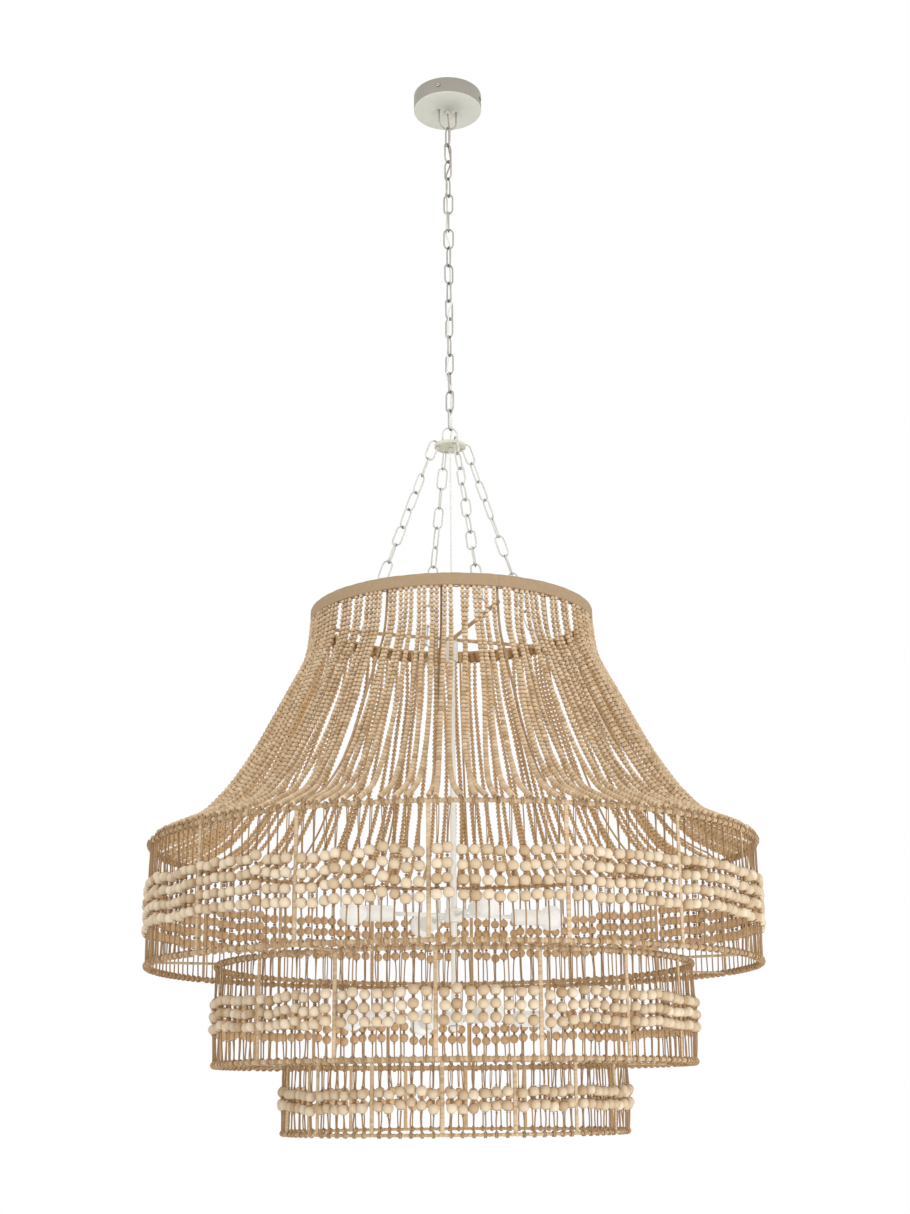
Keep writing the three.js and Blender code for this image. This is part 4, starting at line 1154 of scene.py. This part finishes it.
def make_hangers():
    """Each chain hangs from a hole of the plate to a bar, and its links' length follows from the distance."""
    half = (HANGER_WIDTH - HANGER_WIRE) / 2
    tilt = math.atan2(HANGER_PLACE - CHAIN_HOLE_PLACE - half, HUB_TO_BARS)
    top_x = CHAIN_HOLE_PLACE + half * math.cos(tilt) - HANGER_LIFT * math.sin(tilt)
    top_z = HUB_LOW_Z + HUB_THICKNESS / 2 + half * math.sin(tilt) + HANGER_LIFT * math.cos(tilt)
    low_z = BARS_Z - (BAR_DIAMETER + HANGER_WIRE) / 2 - CLEARANCE
    lean = math.atan2(HANGER_PLACE - top_x, top_z - low_z)
    span = math.hypot(HANGER_PLACE - top_x, top_z - low_z)
    reach = (span + (HANGER_LINKS - 1) * (HANGER_WIRE - LINK_FUSE)) / HANGER_LINKS
    pitch = (span - reach) / (HANGER_LINKS - 1)
    for chain in range(HANGER_COUNT):
        shape = Shape()
        face = spun(chain * FULL / HANGER_COUNT - math.pi / 2)
        steps = chance.uniform(-HANGER_UNEVEN, HANGER_UNEVEN, HANGER_LINKS - 1)
        steps += HANGER_TURN - steps.mean()
        turns = np.concatenate([[0], np.cumsum(steps)])
        for i, turn in enumerate(turns):
            down = reach / 2 + i * pitch
            middle = np.array([top_x + down * math.sin(lean), 0, top_z - down * math.cos(lean)])
            turned = spun(turn).T @ spun(-lean, "Y").T
            add_link(
                shape, reach + HANGER_WIRE, HANGER_WIDTH, HANGER_WIRE,
                lambda path: (path @ turned + middle) @ face.T, 10,
            )
        name = f"suspension_chain_{chain + 1}"
        finish_piece(shape, name + "_links", [pale_plate], "shade", "chain_metal", name)


# Crown, ribs and bars
def skirt_line(shares, inset, top_z, overhang, spacing):
    """Points [radius, height] down the flare to the upper tier's hoop, set in from its outline."""
    top_radius = CROWN_RADIUS - 0.5
    flare = TIERS[0]["radius"] + overhang - top_radius
    drop = TIERS[0]["top"] + 1 - top_z
    line = smooth_path(np.array([top_radius, top_z]) + shares * [flare, drop], spacing)
    along = unit(np.gradient(line, axis=0))
    return line + np.stack([along[:, 1], -along[:, 0]], -1) * inset


def make_strap():
    """Woven strap with a turned lower edge and slightly wavy borders."""
    low, high = CROWN_BOTTOM_Z, CROWN_BOTTOM_Z + CROWN_HEIGHT
    middle = (low + high) / 2
    inner = CROWN_RADIUS - CROWN_DEPTH
    corners = [(inner, middle), *sleeve(inner, CROWN_RADIUS, low, high)[:-1], (inner, middle)]
    section = smooth_path(rounded(corners, STRAP_CORNER), 1.9)
    angle = turns_round(STRAP_STEPS)
    waves = 0.35 * np.sin(angle * 23) * np.sin(angle * 7) + 0.2 * np.sin(angle * 61)
    points = polar(section[:, :1] - STRAP_SINK, angle, section[:, 1:] + waves)
    around, rise = np.broadcast_arrays(angle * CROWN_RADIUS, run_along(section)[:, None])
    grain = np.stack([around, rise, np.zeros(rise.shape)], -1)
    # Painted shadow along the strap's lower edge.
    low_edge_shade = np.clip((low + 2.4 - section[:, 1]) / 1.6, 0, 1) * 0.8
    crown = Shape()
    faces = grid_faces(len(section), STRAP_STEPS)
    crown.add(points, faces, 0, 0.5, grain, np.repeat(low_edge_shade, STRAP_STEPS))
    finish_piece(crown, "crown_strap", [strap_jute], "shade", "woven_jute", "crown_wrap")


def make_ribs():
    """Ribs follow the inside of the flare, from behind the strap to the hoop below."""
    ribs = Shape()
    line = skirt_line(SKIRT_SHARES, RIB_INSET, CROWN_BOTTOM_Z, RIB_OVERHANG, 3)
    line = line[line[:, 0] < TIERS[0]["radius"] - RIB_SHORT]
    line = np.vstack([[line[0][0], CROWN_BOTTOM_Z + CROWN_HEIGHT - STRIP_THICKNESS], line])
    for bay in range(BAYS):
        path = polar(line[:, 0], bay * BAY, line[:, 1])
        section = flat_section(RIB_WIDTH, STRIP_THICKNESS)
        add_wrapped(ribs, path, section, 0, up=radial, ridge=0.06, slant=0.2)
    finish_piece(ribs, "skirt_ribs", [bar_wrap], "shade", "wrapped_wire", "skirt_frame")


def make_bars():
    """Two crossing bars, with the boss that the cord passes through."""
    bars = Shape()
    for angle in (0, math.pi / 2):
        path = np.linspace(*polar([-BAR_REACH, BAR_REACH], angle, BARS_Z), 60)
        section = round_section(BAR_DIAMETER, 12)
        add_wrapped(bars, path, section, 0, pitch=BAR_WRAP_PITCH, ridge=0.14, slant=1.2)
    half = BOSS_HEIGHT / 2
    lathe(bars, rounded(sleeve(HUB_BORE, BOSS_RADIUS, BARS_Z - half, BARS_Z + half), 1.5), 40)
    finish_piece(bars, "crossing_bars", [bar_wrap], "shade", "woven_jute", "cross_bars")


# Tiers
def make_tier_frame(index):
    """Two wound hoops joined by strips; the inner tiers hang by spokes from the hoop outside them."""
    tier = TIERS[index]
    radius, top, bottom = tier["radius"], tier["top"], tier["bottom"]
    shape = Shape()
    for height, diameter in zip((top, bottom), tier["ropes"]):
        add_rope_hoop(shape, radius, height, diameter, 0)
    strip = flat_section(STRIP_WIDTH, STRIP_THICKNESS)
    for bay in range(BAYS):
        ends = polar(radius - STRIP_INSET, bay * BAY, [top - STRIP_SHORT, bottom + STRIP_SHORT])
        add_wrapped(shape, np.linspace(*ends, 12), strip, 1, up=radial, ridge=0.05, slant=0.2)
    if index:
        reach = [radius, TIERS[index - 1]["radius"] - SPOKE_SHORT]
        for spoke in range(SPOKES):
            path = np.linspace(*polar(reach, spoke * FULL / SPOKES, top), 12)
            add_wrapped(shape, path, round_section(SPOKE_DIAMETER, 8), 0, ridge=0.12, slant=0.9)
    name = tier["name"] + "_frame"
    finish_piece(shape, name + "_wrapped", [hoop_wrap, pale_wrap], "shade", "wrapped_wire", name)


def string_angles(tier):
    """Where a tier's strings hang: evenly between one strip and the next, clear of both."""
    margin = STRING_MARGIN / (tier["radius"] + STRING_OFFSET)
    between = np.linspace(margin, BAY - margin, tier["strings"])
    return (np.arange(BAYS)[:, None] * BAY + between).ravel()


def add_turns(shape, angle, radius, height, rope):
    """A string's turns round its hoop."""
    turn = turns_round(10)
    grip = (rope + STRING_CORD) / 2
    ring = polar(radius + grip * np.cos(turn), angle, height + grip * np.sin(turn))
    for side in (-TURNS_APART, TURNS_APART):
        path = ring + outward(angle + math.pi / 2) * side
        add_tube(shape, path, STRING_CORD * TURN_SWELL, 6, 1, True, chance.uniform(0.15, 0.8))


def add_legs(shape, start, end, side, out, legs, thickness):
    """The cord between a hoop and a string's beads: one leg, or two that close up at the bead."""
    share = np.linspace(0, 1, 6)[:, None]
    for leg in legs:
        foot = start + side * (leg * LEG_SPREAD + chance.normal(0, 0.3)) + out * LEG_OUT
        neck = end + side * leg * LEG_CLOSE
        bow = np.sin(share * math.pi) * (side * chance.normal(0, 0.7) + out * chance.normal(0, 0.4))
        path = foot + (neck - foot) * share + bow
        add_tube(shape, path, thickness / 2, 6, 1, tone=chance.uniform(0, 0.4))


def add_string(shape, tier, angle, last_lift):
    """One string's cords and turns; gives how far it is lifted, its beads, their axes and its knots."""
    side, out, up = outward(angle + math.pi / 2), outward(angle), np.array([0, 0, 1.0])
    radius, (top_rope, bottom_rope) = tier["radius"], tier["ropes"]
    drift = chance.normal(0, STRING_DRIFT)
    lift = np.clip(LIFT_KEPT * last_lift + chance.normal(0, LIFT_SPREAD), -STRING_LIFT, STRING_LIFT)
    depth = chance.normal(0, STRING_DEPTH)
    heights = tier["top"] - tier["first"] - np.arange(tier["rows"]) * tier["pitch"] + lift
    stray = chance.normal(0, BEAD_STRAY, (tier["rows"], 3))
    beads = polar(radius + STRING_OFFSET + depth, angle, heights) + side * drift + stray @ [side, out, up]
    axes = up + chance.normal(0, BEAD_TILT, (len(beads), 3))
    above = beads[0] + up * (LARGE_BEAD / 2 + KNOT_GAP)
    under = beads[-1] - up * (LARGE_BEAD / 2 + KNOT_GAP)
    high = polar(radius, angle, tier["top"] - top_rope / 2 + LEG_SINK)
    low = polar(radius, angle, tier["bottom"] + bottom_rope / 2 - LEG_SINK)
    if chance.uniform() < TWO_LEGS:
        add_legs(shape, high, above, side, out, (-1, 1), TWIN_LEG)
    else:
        add_legs(shape, high, above, side, out, (0,), SINGLE_LEG)
    add_legs(shape, low, under, side, out, (0,), LOWER_LEG)
    add_turns(shape, angle, radius, tier["top"], top_rope)
    add_turns(shape, angle, radius, tier["bottom"], bottom_rope)
    knots = [above, under, high - up * KNOT_DROP + out * KNOT_OUT, low + up * KNOT_DROP + out * KNOT_OUT]
    return lift, beads, axes, knots


def make_tier_strings(tier):
    angles = string_angles(tier)
    angles = np.roll(angles, len(angles) // BEAD_SECTORS // 2)
    for sector, members in enumerate(np.split(angles, BEAD_SECTORS)):
        shape = Shape()
        strings, lift = [], 0
        for angle in members:
            lift, *string = add_string(shape, tier, angle, lift)
            strings.append(string)
        beads, axes, knots = (np.array(parts) for parts in zip(*strings))
        count = beads.size // 3
        tones = np.clip(chance.normal(0.55, 0.26, count), 0, 1)
        sizes = LARGE_BEAD / 2 * chance.uniform(0.965, 1.03, count)
        add_balls(shape, large_ball, beads.reshape(-1, 3), axes.reshape(-1, 3), sizes, 0, tones, 0.985)
        spots = ((beads[:, :-1] + beads[:, 1:]) / 2).reshape(-1, 3)
        ways = (beads[:, :-1] - beads[:, 1:]).reshape(-1, 3)
        sizes = SPACER / 2 * chance.uniform(0.85, 1.08, len(spots))
        add_balls(shape, knot_ball, spots, ways, sizes, 2, chance.uniform(0, 1, len(spots)), 0.95)
        knots = knots.reshape(-1, 3)
        ways = np.array([0, 0, 1.0]) + chance.normal(0, 0.3, knots.shape)
        sizes = chance.uniform(1.7, 2.5, len(knots))
        add_balls(shape, knot_ball, knots, ways, sizes, 1, chance.uniform(0, 0.6, len(knots)), 1.1)
        materials = [large_wood, brown_cord, dark_wood]
        piece, name = f"{tier['name']}_strings_{sector + 1}", f"{tier['name']}_beads_{sector + 1}"
        finish_piece(shape, piece, materials, "shade", "pale_wood", name)


# Skirt strands
def strand_plan():
    """Where each strand starts and ends and how far it sways: neighbours cling together in loose groups."""
    plan = []
    radius = CROWN_RADIUS - SMALL_BEAD / 2
    rib = (RIB_WIDTH / 2 + 0.5) / radius
    width = SMALL_BEAD * 0.95 / radius
    for index, count in enumerate(STRANDS_PER_BAY):
        slack = BAY - 2 * rib - count * width
        gaps = chance.uniform(0.05, 1, count + 1) ** 2.2
        gaps *= max(slack, 0) / gaps.sum()
        middles = np.arange(count) + 0.5
        starts = rib + np.cumsum(gaps[:-1]) + middles * width
        ends = BAY * (0.03 + 0.94 * middles / count)
        group = np.cumsum(chance.uniform(0, 1, count) < 0.45)
        pull = chance.normal(0, 0.021, count + 1)[group] + chance.normal(0, 0.007, count)
        sway = chance.normal(0, 0.020, count + 1)[group] + chance.normal(0, 0.006, count)
        plan.append(np.stack([index * BAY + starts, index * BAY + ends + pull, sway], -1))
    return np.vstack(plan)


def add_strand(shape, base, start, end, sway):
    """One strand's cord and tail; gives its beads, their axes and their radii."""
    down = np.linspace(0, 1, len(base))
    arch = np.sin(math.pi * down)
    bow = chance.gamma(1.2, 2.2)
    curl = chance.normal(0, 0.006)
    angle = start + (end - start) * down ** 1.15 + sway * arch + curl * np.sin(FULL * down)
    line = polar(base[:, 0] - bow * arch ** 1.3, angle, base[:, 1] - 0.35 * bow * arch ** 2)
    lengths = run_along(line)
    first = chance.uniform(SMALL_BEAD * 0.45, SMALL_BEAD * 0.7)
    at = np.arange(first, lengths[-1] - 1, SMALL_PITCH)
    spots = walk(line, lengths, at)
    add_tube(shape, line[:: max(1, len(line) // 24)], STRAND_CORD / 2, 4, 1, tone=0.2)
    tail = line[-1] + outward(angle[-1]) * TAIL_OUT - np.array([0, 0, TAIL_DROP])
    add_tube(shape, [line[-1], tail], TAIL_CORD / 2, 6, 1, tone=0.3)
    return spots, np.gradient(spots, axis=0), SMALL_BEAD / 2 * (0.94 + 0.11 * at / lengths[-1])


def make_skirt():
    plan = strand_plan()
    inset, top_z = SMALL_BEAD / 2 - STRAND_PROUD, CROWN_BOTTOM_Z + STRAND_RISE
    base = skirt_line(STRAND_SHARES, inset, top_z, STRAND_OVERHANG, 2)
    for sector, members in enumerate(np.array_split(plan, SKIRT_SECTORS)):
        shape = Shape()
        strands = [add_strand(shape, base, *member) for member in members]
        centres, axes, sizes = (np.concatenate(parts) for parts in zip(*strands))
        tones = np.clip(chance.normal(0.46, 0.2, len(centres)), 0, 1)
        sizes *= chance.uniform(0.95, 1.04, len(centres))
        add_balls(shape, small_ball, centres, axes, sizes, 0, tones, 0.96)
        piece, name = f"skirt_strands_{sector + 1}", f"skirt_beads_{sector + 1}"
        finish_piece(shape, piece, [small_wood, brown_cord], "shade", "pale_wood", name)
    make_crown_loops(np.sort(plan[:, 0]))


def make_crown_loops(starts):
    """The cord that the strands hang from: knotted inside the strap, looping down between neighbours."""
    loops = Shape()
    radius = CROWN_RADIUS - CROWN_LOOP_INSET
    share = np.linspace(0, 1, 7)
    for here, after in zip(starts, [*starts[1:], starts[0] + FULL]):
        dip = CROWN_LOOP_DIP * np.sin(math.pi * share) * min(1.0, (after - here) * radius / CROWN_LOOP_WIDTH)
        path = polar(radius, here + (after - here) * share, CROWN_BOTTOM_Z + CROWN_LOOP_RISE - dip)
        add_tube(loops, path, CROWN_LOOP_CORD / 2, 5, tone=chance.uniform(0, 0.5))
    inside = CROWN_RADIUS - CROWN_DEPTH - CROWN_KNOT_INSET
    for height in CROWN_KNOT_RISES:
        angles = starts + chance.normal(0, 0.003, len(starts))
        spots = polar(inside, angles, CROWN_BOTTOM_Z + height + chance.normal(0, 0.6, len(starts)))
        ways = outward(starts) + chance.normal(0, 0.2, spots.shape)
        sizes = chance.uniform(2.9, 3.5, len(starts))
        add_balls(loops, knot_ball, spots, ways, sizes, 0, chance.uniform(0, 1, len(starts)))
    finish_piece(loops, "crown_loops", [knot_fibre], "shade", "woven_jute")


# Stem, lamp holders and bulbs
def make_stem():
    stem = Shape()
    half, bore, floor = STEM_DIAMETER / 2, STEM_BORE / 2, STEM_TOP_Z - STEM_BORE_DEPTH
    lathe(stem, rounded([
        (0, STEM_BOTTOM_Z), (half, STEM_BOTTOM_Z), (half, STEM_TOP_Z), (bore, STEM_TOP_Z), (bore, floor),
        (0, floor),
    ], 0.7), 40)
    finish_piece(stem, "lamp_stem", [white_enamel], "shade", "white_paint", "light_stem")


def make_coupler():
    coupler = Shape()
    inner, low = STEM_DIAMETER / 2 + CLEARANCE, STEM_TOP_Z - COUPLER_HEIGHT
    lathe(coupler, rounded(sleeve(inner, COUPLER_DIAMETER / 2, low, STEM_TOP_Z), 1.4), 48)
    finish_piece(coupler, "stem_collar", [grey_enamel], "shade", "grey_paint", "stem_coupler")


def make_finial():
    finial = Shape()
    top, radius = STEM_BOTTOM_Z - CLEARANCE, FINIAL_DIAMETER / 2
    turn = np.linspace(0, math.pi / 2, 10)
    heights = top - FINIAL_BAND - (FINIAL_HEIGHT - FINIAL_BAND) * np.cos(turn)
    lathe(finial, [*np.stack([radius * np.sin(turn), heights], -1), (radius, top), (0, top)], 40)
    finish_piece(finial, "stem_end_cap", [white_enamel], "shade", "white_paint", "stem_finial")


def socket_profile():
    """A flared cup, bored for the bulb's base."""
    radius = SOCKET_DIAMETER / 2
    bore = radius - SOCKET_WALL
    floor = SOCKET_END - BULB_BASE - CLEARANCE
    return rounded([
        (0, SOCKET_START), (radius * SOCKET_NECK, SOCKET_START), (radius, SOCKET_START + SOCKET_FLARE),
        (radius, SOCKET_END), (bore, SOCKET_END), (bore, floor), (0, floor),
    ], 1.6)


def band_profile():
    """A low band round the socket's mouth."""
    low, high = SOCKET_DIAMETER / 2 + BAND_LOW, SOCKET_DIAMETER / 2 + BAND_HIGH
    start, end = SOCKET_END - BAND_SPAN[0], SOCKET_END - BAND_SPAN[1]
    return [(low, start), (high, start + BAND_BEVEL), (high, end - BAND_BEVEL), (low, end), (low, start)]


def make_bulb(name, place):
    bulb = Shape()
    radius, start = BULB_DIAMETER / 2, SOCKET_END - BULB_BASE
    neck = SOCKET_DIAMETER / 2 - SOCKET_WALL - BULB_PLAY
    turn = np.linspace(math.pi - math.asin(neck / radius), 0, 22)[1:]
    globe = np.stack([radius * np.sin(turn), BULB_CENTRE + radius * np.cos(turn)], -1)
    lathe(bulb, [(0, start), (neck, start), (neck, SOCKET_END), *globe], 48, 0, place)
    finish_piece(bulb, name + "_glass", [lamp_glass], name + "_body", "frosted_glass", name)


def make_lights(level):
    """A cross of sockets on arms, and a bulb in each."""
    arms = Shape()
    z = BARS_Z - BARS_TO_LIGHTS[level]
    inner, outer, half = STEM_DIAMETER / 2 + CLEARANCE, LIGHT_HUB_DIAMETER / 2, LIGHT_HUB_HEIGHT / 2
    lathe(arms, rounded(sleeve(inner, outer, z - half, z + half), 2.2), 48)
    arm = disc(ARM_DIAMETER / 2, outer - ARM_LAP, SOCKET_START + ARM_LAP)
    for index in range(LIGHTS_PER_CROSS):
        place = lying(index * FULL / LIGHTS_PER_CROSS, z)
        lathe(arms, arm, 20, 0, place)
        lathe(arms, socket_profile(), 40, 0, place)
        lathe(arms, band_profile(), 40, 0, place)
        make_bulb(f"{level}_bulb_{index + 1}", place)
    finish_piece(arms, f"{level}_lamp_arms", [white_enamel], "shade", "white_paint", f"{level}_light_arms")


# Floor, sky and lamps
def make_floor():
    far = FLOOR_REACH
    corners = [(x, y, FLOOR_Z) for x, y in ((-far, -far), (far, -far), (far, far), (-far, far))]
    mesh = bpy.data.meshes.new("floor")
    mesh.from_pydata(corners, [], [(0, 1, 2, 3)])
    floor = bpy.data.objects.new("floor", mesh)
    bpy.context.scene.collection.objects.link(floor)
    paint = Paint("floor_paint", 0.9)
    cloud = paint.noise(paint.place(), 2.0)
    colors = [(0.3, linear((236, 236, 234))), (0.7, linear((240, 240, 238)))]
    paint.set("Base Color", paint.ramp(cloud, colors))
    mesh.materials.append(paint.material)


def make_sky():
    """White where it is seen, mirrored or seen through glass; dimmer where it lights the scene."""
    world = bpy.data.worlds.new("studio")
    bpy.context.scene.world = world
    world.use_nodes = True
    tree = world.node_tree
    tree.nodes.clear()
    rays = add_node(tree, "ShaderNodeLightPath").outputs
    seen = rays["Is Camera Ray"]
    for kind in ("Is Glossy Ray", "Is Transmission Ray"):
        seen = add_node(tree, "ShaderNodeMath", {0: seen, 1: rays[kind]}, operation="MAXIMUM").outputs[0]
    fill, shown = (
        add_node(tree, "ShaderNodeBackground", {"Color": WHITE, "Strength": strength}).outputs[0]
        for strength in (WORLD_FILL, 1)
    )
    chosen = add_node(tree, "ShaderNodeMixShader", {0: seen, 1: fill, 2: shown}).outputs[0]
    add_node(tree, "ShaderNodeOutputWorld", {"Surface": chosen})


def aimed(place):
    """Matrix of a lamp at a place, shining at LAMP_AIM."""
    back = np.subtract(place, LAMP_AIM) / np.linalg.norm(np.subtract(place, LAMP_AIM))
    side = np.cross([0, 0, 1.0], back)
    side = side / np.linalg.norm(side)
    rise = np.cross(back, side)
    return Matrix([[side[row], rise[row], back[row], place[row]] for row in range(3)] + [[0, 0, 0, 1]])


def make_lamps():
    for name, place, power, width in LAMPS:
        lamp = bpy.data.lights.new(name, "AREA")
        lamp.energy = power
        lamp.size = width
        held = bpy.data.objects.new(name, lamp)
        held.visible_camera = False
        held.matrix_world = aimed(place)
        bpy.context.scene.collection.objects.link(held)


make_cover()
for screw_index in range(SCREW_COUNT):
    make_screw(screw_index)
make_loop()
make_bushing()
paint_bracket()
make_chain()
make_cord()
make_bail()
make_plate()
make_hangers()
make_strap()
make_ribs()
make_bars()
for tier_index, strung_tier in enumerate(TIERS):
    make_tier_frame(tier_index)
    make_tier_strings(strung_tier)
make_skirt()
make_stem()
make_coupler()
make_finial()
for lamp_level in BARS_TO_LIGHTS:
    make_lights(lamp_level)
make_floor()
make_sky()
make_lamps()

bpy.context.scene.view_settings.view_transform = "Standard"

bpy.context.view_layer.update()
